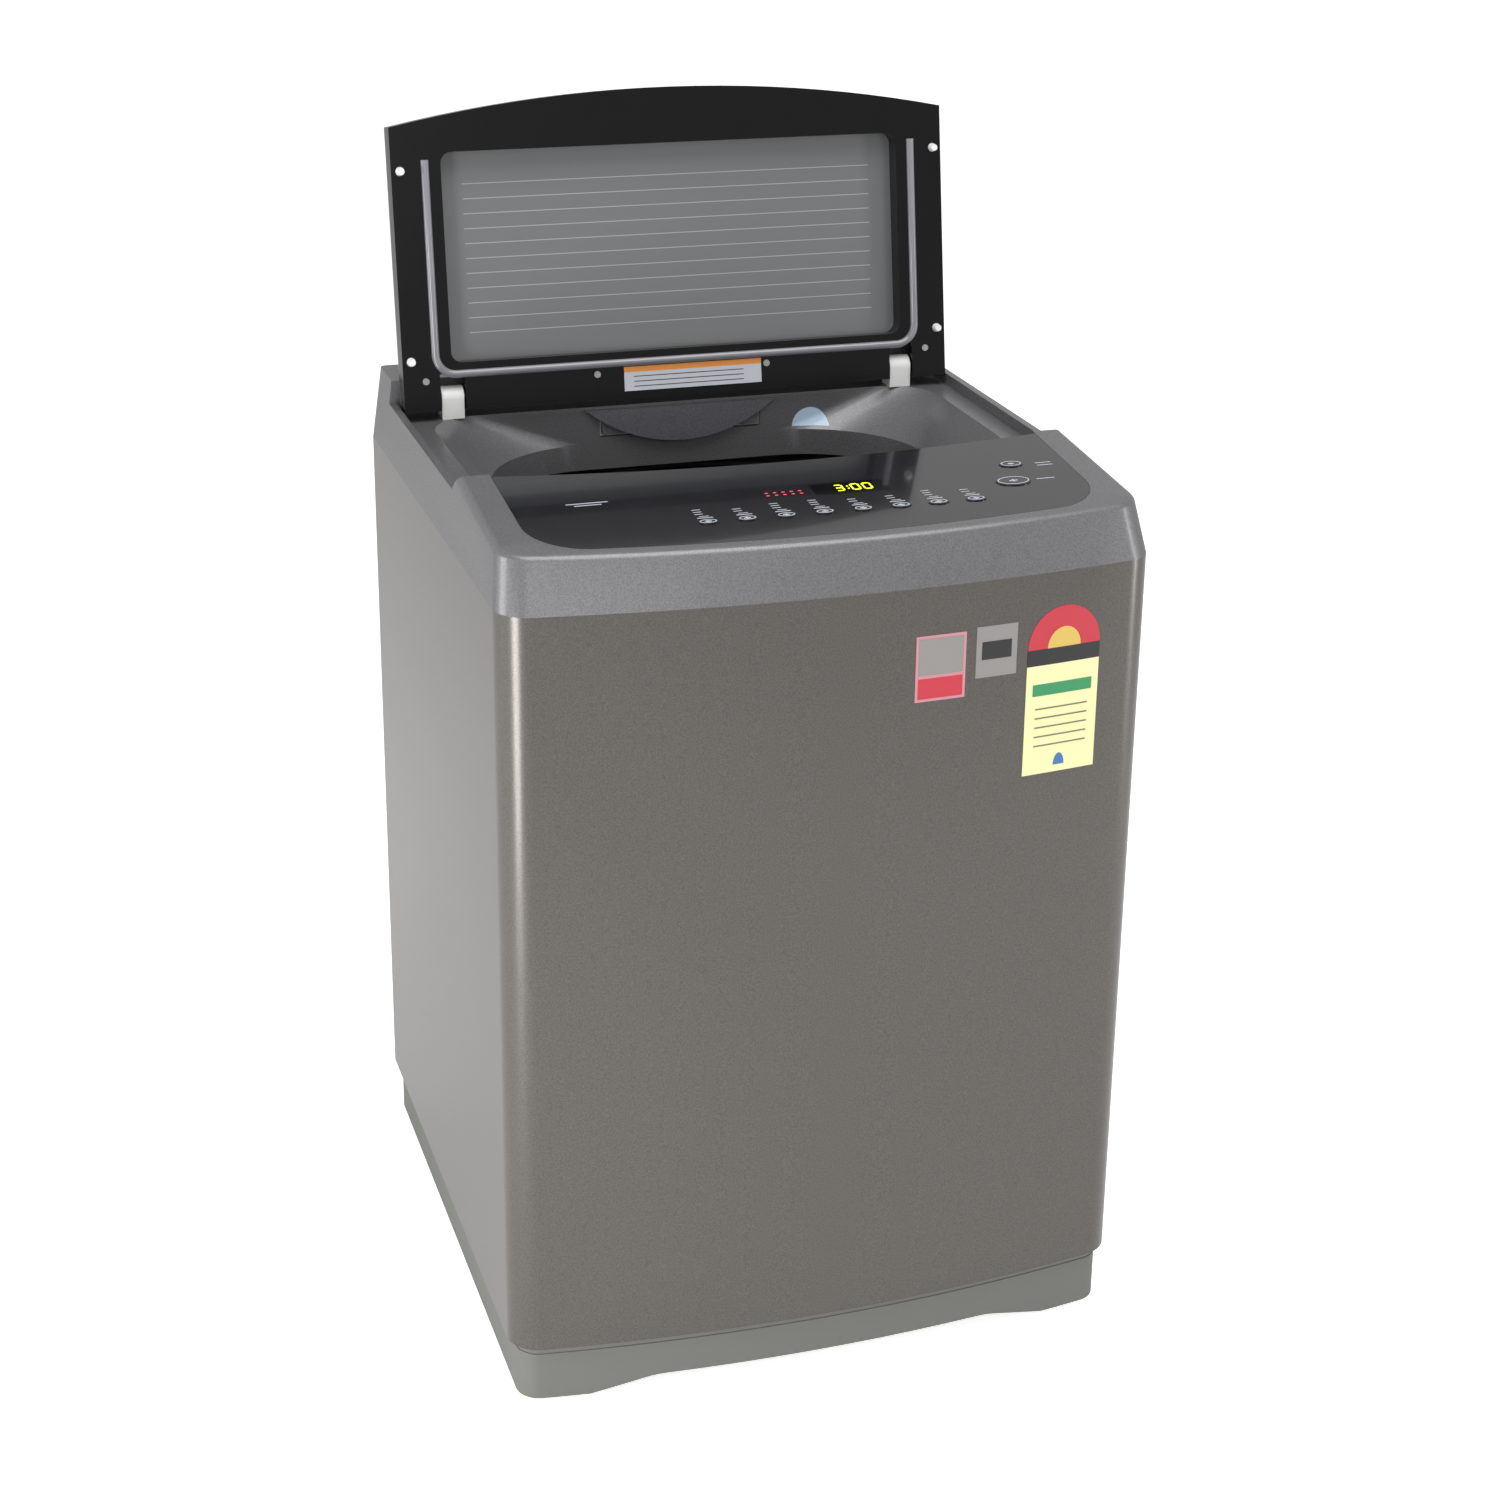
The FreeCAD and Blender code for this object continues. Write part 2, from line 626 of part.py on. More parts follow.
def display_block(grow, top, bottom):
    half_long = DISPLAY_LONG / 2 + grow
    half_wide = DISPLAY_WIDE / 2 + grow
    return tilt_onto_console(box(
        DISPLAY_X - half_long, DISPLAY_X + half_long,
        DISPLAY_BACK - half_wide, DISPLAY_BACK + half_wide, bottom, top,
    ))


def seat_space(off, z0, z1):
    """Lid seat grown by off: the lid's outline, and room behind it for its rear edges to turn."""
    side = LID_HALF + off
    room = box(-side, side, HINGE_Y, HUMP_FRONT - LID_GAP + off, z0, z1)
    return fuse(prism(lid_wire(off), z0, z1), room)


def make_top_cover():
    """Deck moulding: outer walls, lid seat, basin and collar, console bed and rear hump."""
    outer = soften_cover(cover_form(0))
    shell = cut(outer, cover_form(COVER_WALL))
    seat = seat_space(LID_GAP + COVER_WALL, SEAT_Z - COVER_WALL, HUMP_TOP).common(outer)
    lip_bed = lip_zone(COVER_WALL + PART_GAP).common(outer)
    lip_floor = prism(lid_wire(LIP_BACK + COVER_WALL), SEAT_Z - COVER_WALL, SEAT_Z + LIP_FOOT)
    lip_floor = lip_floor.common(box(-WIDTH, WIDTH, -DEPTH, LID_FRONT + 10, 0, HUMP_TOP)).common(outer)
    funnel, collar = basin_space(COVER_WALL)
    body = fuse(shell, seat, lip_bed, lip_floor, funnel, collar)
    open_funnel, open_collar = basin_space(0, 5)
    body = cut(
        body,
        seat_space(LID_GAP, SEAT_Z, HUMP_TOP + 10),
        open_funnel, open_collar,
        console_slab(PART_GAP, 30, -PANEL_THICK),
        lip_zone(PART_GAP),
    )
    drawer_way = box(
        -DRAWER_HALF - PART_GAP - 2, DRAWER_HALF + PART_GAP + 2,
        BASIN_REAR - 5, BASIN_REAR + COVER_WALL + 3, DRAWER_FOOT - 3, DRAWER_TOP + 1.5,
    )
    nipple_way = rod_along_y(NIPPLE_NECK_R + SEAT_GAP, HUMP_FRONT + 20, DEPTH, NIPPLE_X, nipple_z())
    body = cut(body, drawer_way, nipple_way, display_block(-2, 0, -20))
    body = cut(body, *stem_holes(KEY_STEM_R + PART_GAP, 0, -20))
    save("top_cover", body)


def make_control_panel():
    """Glossy fascia with key holes; its rear lip slopes down to the lid as a finger groove."""
    slab = console_slab(0, 0, -PANEL_THICK)
    below_face = side_profile([
        (0, 0), (0, CONSOLE_Z - CONSOLE_REAR * RAIL_SLOPE),
        (-DEPTH, CONSOLE_Z + (-DEPTH - CONSOLE_REAR) * RAIL_SLOPE), (-DEPTH, 0),
    ], WIDTH)
    groove = loft(lid_wire(LIP_FOOT, SEAT_Z), lid_wire(LIP_BROW, CONSOLE_Z + 2))
    groove_top = prism(lid_wire(LIP_BROW), CONSOLE_Z + 2, CONSOLE_Z + 30)
    lip = cut(lip_zone(0).common(below_face), groove, groove_top)
    panel = cut(fuse(slab, lip), groove, groove_top)
    panel = cut(panel, *key_holes(PART_GAP, 5, -PANEL_THICK - 1))
    save("control_panel", cut(panel, display_block(SEAT_GAP, 5, -PANEL_THICK - 20)))


def make_display():
    save("display_window", display_block(0, 0, -PANEL_THICK + SEAT_GAP))


def key_solid(x, y, half_long, half_wide):
    cap = oval(x, y, half_long, half_wide, KEY_PROUD, -KEY_DEEP)
    stem_foot = -BOARD_DROP + BOARD_THICK + SWITCH_HIGH + KEY_TRAVEL + 0.2
    return tilt_onto_console(fuse(cap, rod(KEY_STEM_R, stem_foot, -KEY_DEEP, x, y)))


def make_keys():
    for number, x in enumerate(KEY_XS, start=1):
        save(f"program_key_{number}", key_solid(x, KEY_BACK, KEY_LONG / 2, KEY_WIDE / 2))
    for name, (x, y, long, wide) in ROUND_KEYS.items():
        save(name, key_solid(x, y, long, wide))


def make_control_board():
    """Circuit board hung on posts under the console bed, with switches and the display block."""
    top = -BOARD_DROP + BOARD_THICK
    board = box(-120, 215, -146, -52, -BOARD_DROP, top)
    solids = [board]
    for x, y in [(x, KEY_BACK) for x in KEY_XS] + [(k[0], k[1]) for k in ROUND_KEYS.values()]:
        solids.append(box(x - 3, x + 3, y - 3, y + 3, top, top + SWITCH_HIGH))
    solids.append(box(
        DISPLAY_X - DISPLAY_LONG / 2 + 3, DISPLAY_X + DISPLAY_LONG / 2 - 3,
        DISPLAY_BACK - DISPLAY_WIDE / 2 + 3, DISPLAY_BACK + DISPLAY_WIDE / 2 - 3,
        top, -PANEL_THICK - SEAT_GAP,
    ))
    for x in (-112, 207):
        for y in (-140, -58):
            solids.append(rod(3.5, top, -2 * COVER_WALL - SEAT_GAP, x, y))
    save("control_board", tilt_onto_console(fuse(*solids)))


# ---------------------------------------------------------------- lid
def open_lid(shape):
    """Turns a closed lid part to the open stop."""
    shape.rotate(V(0, HINGE_Y, HINGE_Z), V(1, 0, 0), -LID_OPEN)
    return shape


def window_prism(grow, z0, z1):
    return round_box(
        -WINDOW_HALF - grow, WINDOW_HALF + grow,
        HINGE_Y - WINDOW_FAR - grow, HINGE_Y - WINDOW_NEAR + grow, WINDOW_R, z0, z1,
    )


def knuckle_notches():
    """Clearances in the lid round the two hinge knuckles, swept over the whole opening angle."""
    half = KNUCKLE_WIDE / 2 + 1.2
    reach = math.hypot(KNUCKLE_R, HINGE_Z - SEAT_Z) + 1
    return [
        box(x - half, x + half, HINGE_Y - reach, LID_REAR + 1, LID_FOOT - 1, LID_TOP + 1)
        for x in (-KNUCKLE_X, KNUCKLE_X)
    ]


def pin_bores(radius):
    half = HINGE_PIN_LONG / 2 + 0.5
    return [
        rod_along_x(radius, x - half, x + half, HINGE_Y, HINGE_Z) for x in (-KNUCKLE_X, KNUCKLE_X)
    ]


def lid_skin_z():
    """Height of the joint between the lid's inner tray and its outer skin."""
    return LID_TOP - LID_WALL - GLASS_THICK


def make_lid_inner():
    """Black tray on the lid's underside: window frame, side walls and hinge lugs."""
    top = lid_skin_z()
    tray = prism(lid_wire(0), LID_FOOT, top)
    pocket = prism(lid_wire(-LID_WALL), LID_FOOT + LID_WALL, LID_TOP)
    frame_wall = window_prism(LID_WALL + GLASS_LAP + 1, LID_FOOT, top)
    hinge_bar = box(-LID_HALF, LID_HALF, HINGE_Y - 16, LID_REAR, LID_FOOT, top)
    hollow = cut(pocket, frame_wall, hinge_bar)
    tray = cut(tray, hollow, window_prism(0, LID_FOOT - 1, LID_TOP), *knuckle_notches())
    save("lid_inner_tray", open_lid(cut(tray, *pin_bores(HINGE_PIN_R + 0.08))))


def make_lid_outer():
    """Outer skin of the lid with its own opening round the glass."""
    low = lid_skin_z() + SKIN_GAP
    skin = prism(lid_wire(0), low, LID_TOP)
    glass_bed = window_prism(GLASS_LAP + SEAT_GAP, low - 1, low + GLASS_THICK)
    edge_r = 3.0
    rim = [e for e in skin.Edges if e.BoundBox.ZMin > LID_TOP - 0.1]
    skin = skin.makeFillet(edge_r, rim)
    skin = cut(skin, glass_bed, window_prism(-1, low - 1, LID_TOP + 1), *knuckle_notches())
    save("lid_outer_skin", open_lid(skin))


def make_lid_glass():
    low = lid_skin_z() + SKIN_GAP
    pane = window_prism(GLASS_LAP, low, low + GLASS_THICK - SEAT_GAP)
    save("lid_glass", open_lid(pane))


def make_lid_bead():
    """Raised U-shaped drip bead on the lid's underside, open towards the lid's front edge."""
    half = WINDOW_HALF + BEAD_OUT
    near = HINGE_Y - BEAD_NEAR
    far = HINGE_Y - WINDOW_FAR + 6.0
    turn = BEAD_TURN
    slant = turn * (1 - math.sqrt(0.5))
    z = LID_FOOT
    path = Part.Wire([
        line(V(-half, far, z), V(-half, near - turn, z)),
        arc(V(-half, near - turn, z), V(-half + slant, near - slant, z), V(-half + turn, near, z)),
        line(V(-half + turn, near, z), V(half - turn, near, z)),
        arc(V(half - turn, near, z), V(half - slant, near - slant, z), V(half, near - turn, z)),
        line(V(half, near - turn, z), V(half, far, z)),
    ])
    circle = Part.Wire(Part.Circle(V(-half, far, z), V(0, 1, 0), BEAD_R).toShape())
    bead = path.makePipeShell([circle], True, False)
    bead = bead.common(box(-WIDTH, WIDTH, -DEPTH, DEPTH, 0, LID_FOOT))
    save("lid_drip_bead", open_lid(bead))


def make_lid_bumpers():
    """Rubber stops: two near the lid's front corners and two near the hinge."""
    height = LID_FOOT - SEAT_Z - PART_GAP
    stops = []
    for x in (-LID_HALF + 8, LID_HALF - 8):
        for y in (LID_FRONT + 38, HINGE_Y - 34):
            stops.append(open_lid(cone(3.0, 4.0, LID_FOOT - height, LID_FOOT, x, y)))
    save("lid_bumpers", *stops)


def make_lid_screws():
    heads = []
    side = LID_HALF - 20
    for x, y in ((-80, HINGE_Y - 12), (80, HINGE_Y - 12), (-side, HINGE_Y - 16), (side, HINGE_Y - 16)):
        heads.append(open_lid(rod(3.0, LID_FOOT - 1.2, LID_FOOT, x, y)))
    save("lid_screws", *heads)


def make_hinge():
    """White nylon knuckles standing on the lid seat, each holding a steel pin for the lid."""
    knuckles = []
    pins = []
    for x in (-KNUCKLE_X, KNUCKLE_X):
        half = KNUCKLE_WIDE / 2
        post = box(x - half, x + half, HINGE_Y - KNUCKLE_R, HINGE_Y + KNUCKLE_R, SEAT_Z, HINGE_Z)
        crown = rod_along_x(KNUCKLE_R, x - half, x + half, HINGE_Y, HINGE_Z)
        bore = rod_along_x(HINGE_PIN_R + 0.02, x - half - 1, x + half + 1, HINGE_Y, HINGE_Z)
        knuckles.append(cut(fuse(post, crown), bore))
        reach = HINGE_PIN_LONG / 2
        pins.append(rod_along_x(HINGE_PIN_R, x - reach, x + reach, HINGE_Y, HINGE_Z))
    save("hinge_knuckles", *knuckles)
    save("hinge_pins", *pins)


def make_lid_lock():
    """Lid switch under the right of the seat, with the slot that the lid's striker meets."""
    x = BASIN_HALF + COVER_WALL + 2
    y = 120.0
    top = SEAT_Z - COVER_WALL - SEAT_GAP
    body = box(x, x + 17, y - 25, y + 25, top - 22, top)
    slot = box(x + 5, x + 11, y - 12, y + 12, top - 12, top + 1)
    save("lid_lock", cut(body, slot))


# ---------------------------------------------------------------- water inlet and dispenser
def nipple_z():
    return SEAT_Z - 8.0


def make_dispenser():
    """Housing behind the basin's rear wall and the drawer that slides out of it."""
    wall = DRAWER_WALL
    gap = PART_GAP
    back = BASIN_REAR + COVER_WALL + DRAWER_LONG + gap
    side = DRAWER_HALF + gap
    housing = box(
        -side - wall, side + wall, BASIN_REAR + COVER_WALL, back + wall,
        DRAWER_FOOT - gap - wall, SEAT_Z - COVER_WALL,
    )
    hollow = box(
        -side, side, BASIN_REAR, back, DRAWER_FOOT - gap, DRAWER_TOP + gap,
    )
    inlet = rod_along_x(PIPE_R, -side - wall - 1, -side + 1, BASIN_REAR + 45, DRAWER_TOP - 9)
    save("dispenser_housing", cut(housing, hollow, inlet))

    tray = box(-DRAWER_HALF, DRAWER_HALF, BASIN_REAR - 2, back - gap, DRAWER_FOOT, DRAWER_TOP)
    well = box(
        -DRAWER_HALF + wall, DRAWER_HALF - wall, BASIN_REAR + 1, back - gap - wall,
        DRAWER_FOOT + wall, DRAWER_TOP + 1,
    )
    divider = box(18, 18 + wall, BASIN_REAR, back - gap - wall, DRAWER_FOOT, DRAWER_TOP - 4)
    tray = fuse(cut(tray, well), divider)
    save("dispenser_drawer", fuse(tray, drawer_front()))


def drawer_front():
    """Crescent-shaped drawer front: flat top, round belly, bulging slightly into the basin."""
    top = SEAT_Z - 2.5
    depth = 9.0
    radius = (FRONT_HALF ** 2 + FRONT_SAG ** 2) / (2 * FRONT_SAG)
    plate = rod_along_y(radius, BASIN_REAR - depth, BASIN_REAR - PART_GAP, 0, top - FRONT_SAG + radius)
    plate = plate.common(box(-WIDTH, WIDTH, 0, DEPTH, 0, top))
    bulge_r = 700.0
    belly = Part.makeCylinder(bulge_r, 200, V(0, BASIN_REAR - depth + bulge_r, top - 150), V(0, 0, 1))
    return plate.common(belly)


def make_inlet_valve():
    """Water valve in the hump: threaded nipple out of the rear, coil, and pipe to the dispenser."""
    z = nipple_z()
    y0 = HUMP_FRONT + 16
    rear = DEPTH / 2
    side = DRAWER_HALF + PART_GAP + DRAWER_WALL
    body = box(NIPPLE_X - 20, NIPPLE_X + 20, y0, rear - 12, z - 18, z + 18)
    neck = rod_along_y(NIPPLE_NECK_R, rear - 13, rear + NIPPLE_LONG, NIPPLE_X, z)
    nipple = rod_along_y(NIPPLE_R, rear + FITTING_STEP, rear + NIPPLE_LONG, NIPPLE_X, z)
    coil = rod(11.0, z + 18, HUMP_TOP - COVER_WALL - 3, NIPPLE_X, y0 + 18)
    pipe_y = BASIN_REAR + 45
    pipe = rod_along_x(PIPE_R - SEAT_GAP, NIPPLE_X + 19, -side + 1, pipe_y, DRAWER_TOP - 9)
    bore = rod_along_y(9.0, rear - 30, rear + NIPPLE_LONG + 1, NIPPLE_X, z)
    save("inlet_valve", cut(fuse(body, neck, nipple, coil, pipe), bore))


# ---------------------------------------------------------------- tub, drum and drive
def drum_ring(outer, inner, z0, z1):
    return ring(outer, inner, z0, z1, 0, DRUM_Y)


def drum_rod(radius, z0, z1):
    return rod(radius, z0, z1, 0, DRUM_Y)


def lug(x, y):
    """Arm from the tub's wall out to a suspension rod, with a vertical hole for it."""
    length = math.hypot(x, y - DRUM_Y)
    angle = math.degrees(math.atan2(y - DRUM_Y, x))
    arm = box(TUB_R - 8, length, -16, 16, LUG_FOOT, LUG_TOP)
    arm = fuse(arm, rod(CUP_R, LUG_FOOT, LUG_TOP, length, 0))
    arm.rotate(V(0, 0, 0), V(0, 0, 1), angle)
    arm.translate(V(0, DRUM_Y, 0))
    return arm


def make_outer_tub():
    """Plastic tub with floor, bearing boss hole, drain hole and four suspension lugs."""
    wall = drum_ring(TUB_R, TUB_R - TUB_WALL, TUB_FLOOR, TUB_RIM)
    floor = drum_ring(TUB_R, SPIN_SHAFT_R + SPIN_BEARING_WIDE + NECK_WALL + 1, TUB_FLOOR, TUB_FLOOR + TUB_WALL + 1)
    boss = drum_ring(SPIN_SHAFT_R + SPIN_BEARING_WIDE + NECK_WALL + 4, SPIN_SHAFT_R + SPIN_BEARING_WIDE + NECK_WALL + 1, TUB_FLOOR, TUB_FLOOR + 18)
    tub = fuse(wall, floor, boss)
    for x, y in HANGERS.values():
        tub = fuse(tub, lug(x, y).cut(drum_rod(TUB_R - 1, 0, 900)))
    for x, y in HANGERS.values():
        tub = cut(tub, rod(ROD_R + 1.5, LUG_FOOT - 1, LUG_TOP + 1, x, y))
    drain = rod(DRAIN_BORE, TUB_FLOOR - 1, TUB_FLOOR + 10, DRAIN_X, DRAIN_VALVE_Y)
    save("outer_tub", cut(tub, drain))


def make_tub_ring():
    """Black ring snapped on the tub's rim, narrowing its mouth to just over the balance ring."""
    lip = drum_ring(TUB_R + 3, TUB_MOUTH_R, TUB_RIM, TUB_RIM + 3)
    skirt = drum_ring(TUB_R + 3, TUB_R + SEAT_GAP, TUB_RIM - 14, TUB_RIM)
    save("tub_ring", fuse(lip, skirt))


def make_support_plate():
    """Steel plate bolted under the tub: carries the gearbox, the motor and the drain valve."""
    top = PLATE_TOP
    foot = top - PLATE_THICK
    plate = round_box(-170, 180, -130, 120, 20, foot, top)
    spacers = [
        rod(10, top, TUB_FLOOR - SEAT_GAP, x, y) for x in (-120, 120) for y in (-60, 100)
    ]
    centre = drum_rod(SPIN_SHAFT_R + SPIN_BEARING_WIDE + NECK_WALL + 1.5, foot - 1, top + 1)
    motor_hole = rod(14, foot - 1, top + 1, MOTOR_X, MOTOR_Y)
    save("support_plate", cut(fuse(plate, *spacers), centre, motor_hole))


def make_gearbox():
    """Clutch and planetary housing with its neck up into the tub; hollow for the spin shaft."""
    foot = PULLEY_Z + PULLEY_HIGH + 8
    plate_foot = PLATE_TOP - PLATE_THICK
    body = drum_rod(56, foot, plate_foot - SEAT_GAP)
    neck = drum_rod(SPIN_SHAFT_R + SPIN_BEARING_WIDE + NECK_WALL + 0.5, foot, TUB_FLOOR + 20)
    bore = drum_rod(SPIN_SHAFT_R + SPIN_BEARING_WIDE + PART_GAP, foot - 1, TUB_FLOOR + 30)
    save("gearbox_housing", cut(fuse(body, neck), bore))


def make_bearings():
    """Upper and lower ball bearings of the spin shaft, and the lip seal over them."""
    low = PULLEY_Z + PULLEY_HIGH + 12
    rings = [
        drum_ring(SPIN_SHAFT_R + SPIN_BEARING_WIDE, SPIN_SHAFT_R + 0.05, z, z + 12) for z in (low, TUB_FLOOR - 10)
    ]
    save("spin_bearings", *rings)
    seal = drum_ring(SPIN_SHAFT_R + SPIN_BEARING_WIDE, SPIN_SHAFT_R + 0.3, TUB_FLOOR + 6, TUB_FLOOR + 18)
    save("shaft_seal", seal)


def make_motor():
    foot = PULLEY_Z + PULLEY_HIGH + 10
    top = PLATE_TOP - PLATE_THICK - SEAT_GAP
    can = rod(MOTOR_R, foot, top, MOTOR_X, MOTOR_Y)
    bore = rod(MOTOR_SHAFT_R + PART_GAP, foot - 1, top + 1, MOTOR_X, MOTOR_Y)
    fins = []
    for step in range(24):
        fin = box(MOTOR_R - 4, MOTOR_R + 1, -1.2, 1.2, foot + 8, top - 8)
        fin.rotate(V(0, 0, 0), V(0, 0, 1), step * 15)
        fin.translate(V(MOTOR_X, MOTOR_Y, 0))
        fins.append(fin)
    save("drive_motor", cut(fuse(can, *fins), bore))
    shaft = rod(MOTOR_SHAFT_R, PULLEY_Z - 4, top - 4, MOTOR_X, MOTOR_Y)
    pulley = pulley_solid(MOTOR_PULLEY_R, MOTOR_X, MOTOR_Y)
    save("motor_pulley", fuse(shaft, pulley))


def pulley_solid(radius, x, y):
    """Flanged pulley with a flat rim where the belt runs."""
    top = PULLEY_Z + PULLEY_HIGH
    rim = rod(radius, PULLEY_Z, top, x, y)
    low_flange = rod(radius + 4, PULLEY_Z, PULLEY_Z + 2, x, y)
    high_flange = rod(radius + 4, top - 2, top, x, y)
    return fuse(rim, low_flange, high_flange)


def make_drive_belt():
    """Belt round both pulleys, drawn as the outline of two circles and their outer tangents."""
    z0 = PULLEY_Z + (PULLEY_HIGH - BELT_HIGH) / 2
    outer = belt_prism(PART_GAP + BELT_THICK, z0, z0 + BELT_HIGH)
    inner = belt_prism(PART_GAP, z0 - 1, z0 + BELT_HIGH + 1)
    save("drive_belt", cut(outer, inner))


def belt_prism(grow, z0, z1):
    big = DRIVEN_PULLEY_R + grow
    small = MOTOR_PULLEY_R + grow
    span_x = MOTOR_X
    span_y = MOTOR_Y - DRUM_Y
    span = math.hypot(span_x, span_y)
    heading = math.atan2(span_y, span_x)
    fan = math.acos((big - small) / span)
    points = []
    for side in (1, -1):
        angle = heading + side * fan
        unit = V(math.cos(angle), math.sin(angle), 0)
        points.append((V(0, DRUM_Y, 0) + unit * big, V(MOTOR_X, MOTOR_Y, 0) + unit * small))
    ahead = V(math.cos(heading), math.sin(heading), 0)
    wire = Part.Wire([
        line(points[0][0], points[0][1]),
        arc(points[0][1], V(MOTOR_X, MOTOR_Y, 0) + ahead * small, points[1][1]),
        line(points[1][1], points[1][0]),
        arc(points[1][0], V(0, DRUM_Y, 0) - ahead * big, points[0][0]),
    ])
    return prism(wire, z0, z1)


def make_wash_drive():
    """Driven pulley and wash shaft up through the hollow spin shaft to the pulsator."""
    shaft = drum_rod(WASH_SHAFT_R, PULLEY_Z - 4, BASKET_FLOOR + 30)
    disc = pulley_solid(DRIVEN_PULLEY_R, 0, DRUM_Y)
    windows = []
    for step in range(5):
        angle = math.radians(72 * step)
        x = 50 * math.cos(angle)
        y = DRUM_Y + 50 * math.sin(angle)
        windows.append(rod(16, PULLEY_Z - 1, PULLEY_Z + PULLEY_HIGH + 1, x, y))
    save("wash_shaft", shaft)
    bore = drum_rod(WASH_SHAFT_R + 0.1, PULLEY_Z - 1, PULLEY_Z + PULLEY_HIGH + 1)
    save("driven_pulley", cut(disc, bore, *windows))


def pulsator_vane(angle):
    vane = box(30, PULSATOR_R - 14, -7, 7, BASKET_FLOOR + 14, BASKET_FLOOR + 42)
    slope = cut(
        box(0, PULSATOR_R, -20, 20, BASKET_FLOOR + 14, BASKET_FLOOR + 60),
        Part.makeCone(PULSATOR_R + 20, 10, 60, V(0, 0, BASKET_FLOOR + 10)),
    )
    vane = cut(vane, slope)
    vane.rotate(V(0, 0, 0), V(0, 0, 1), angle)
    vane.translate(V(0, DRUM_Y, 0))
    return vane


def make_pulsator():
    """Round plate with four vanes and a domed hub; turns on the wash shaft."""
    foot = BASKET_FLOOR + 6
    plate = drum_rod(PULSATOR_R, foot, foot + 9)
    under = drum_rod(PULSATOR_R - 5, foot - 1, foot + 4)
    hub = cone(48, 30, foot, foot + 34, 0, DRUM_Y)
    body = fuse(cut(plate, under), hub, *[pulsator_vane(90 * step) for step in range(4)])
    cap_seat = drum_rod(14, foot + 24, foot + 50)
    bore = drum_rod(WASH_SHAFT_R + 0.1, foot - 2, foot + 60)
    drains = []
    for step in range(24):
        angle = math.radians(15 * step + 7.5)
        x = 130 * math.cos(angle)
        y = DRUM_Y + 130 * math.sin(angle)
        drains.append(rod(3.0, foot - 1, foot + 12, x, y))
    save("pulsator", cut(body, cap_seat, bore, *drains))
    save("pulsator_cap", drum_ring(13.7, 0.01, foot + 26, foot + 38).common(
        Part.makeSphere(20, V(0, DRUM_Y, foot + 18))))


def make_basket():
    """Stainless spin basket: perforated wall, floor plate, hub with hollow spin shaft."""
    wall = drum_ring(BASKET_R, BASKET_R - BASKET_WALL, BASKET_FLOOR, BALANCE_FOOT + SEAM_LAP)
    holes = []
    for column in range(12):
        for row in range(4):
            angle = 30 * column + 15 * (row % 2)
            hole = rod_along_x(3.0, BASKET_R - 6, BASKET_R + 4, 0, BASKET_FLOOR + 60 + 90 * row)
            hole.rotate(V(0, 0, 0), V(0, 0, 1), angle)
            hole.translate(V(0, DRUM_Y, 0))
            holes.append(hole)
    save("basket", cut(wall, *holes))
    inner = BASKET_R - BASKET_WALL - SEAT_GAP
    disc = drum_ring(inner, WASH_SHAFT_R + PART_GAP, BASKET_FLOOR - 4, BASKET_FLOOR)
    rim = drum_ring(inner, inner - 4, BASKET_FLOOR - 4, BASKET_FLOOR + 16)
    shaft_foot = PULLEY_Z + PULLEY_HIGH + 2
    shaft = drum_ring(SPIN_SHAFT_R, WASH_SHAFT_R + PART_GAP, shaft_foot, BASKET_FLOOR - 4)
    flange = drum_ring(60, WASH_SHAFT_R + PART_GAP, BASKET_FLOOR - 12, BASKET_FLOOR - 4)
    save("basket_floor", fuse(disc, rim))
    save("spin_shaft", fuse(shaft, flange))


def make_balance_ring():
    """Hollow ring round the basket's mouth, part filled with brine; sloping inner face."""
    top = BALANCE_TOP
    foot = BALANCE_FOOT
    outer = BASKET_R + BALANCE_PROUD
    seam = BASKET_R - BASKET_WALL - SEAT_GAP
    body = drum_rod(outer, foot + SEAM_LAP + SEAT_GAP, top)
    neck = drum_rod(seam, foot, foot + SEAM_LAP + 1 + SEAT_GAP)
    mouth = drum_rod(BALANCE_MOUTH_R, foot - 1, top + 1)
    flare = cone(BALANCE_MOUTH_R, BALANCE_MOUTH_R + 9, top - 16, top + 0.01, 0, DRUM_Y)
    save("balance_ring", cut(fuse(body, neck), mouth, flare))


def make_lint_filters():
    """Two filter cassettes clipped to the basket's wall."""
    inner = BASKET_R - BASKET_WALL - SEAT_GAP
    cassettes = []
    for side in (-1, 1):
        block = box(-34, 34, inner - 16, inner + 5, BASKET_FLOOR + 120, BASKET_FLOOR + 250)
        block = block.common(rod(inner, 0, 900))
        window = box(-26, 26, inner - 14, inner - 6, BASKET_FLOOR + 130, BASKET_FLOOR + 240)
        block = cut(block, window)
        block.rotate(V(0, 0, 0), V(0, 0, 1), 90 * side)
        block.translate(V(0, DRUM_Y, 0))
        cassettes.append(block)
    save("lint_filters", *cassettes)


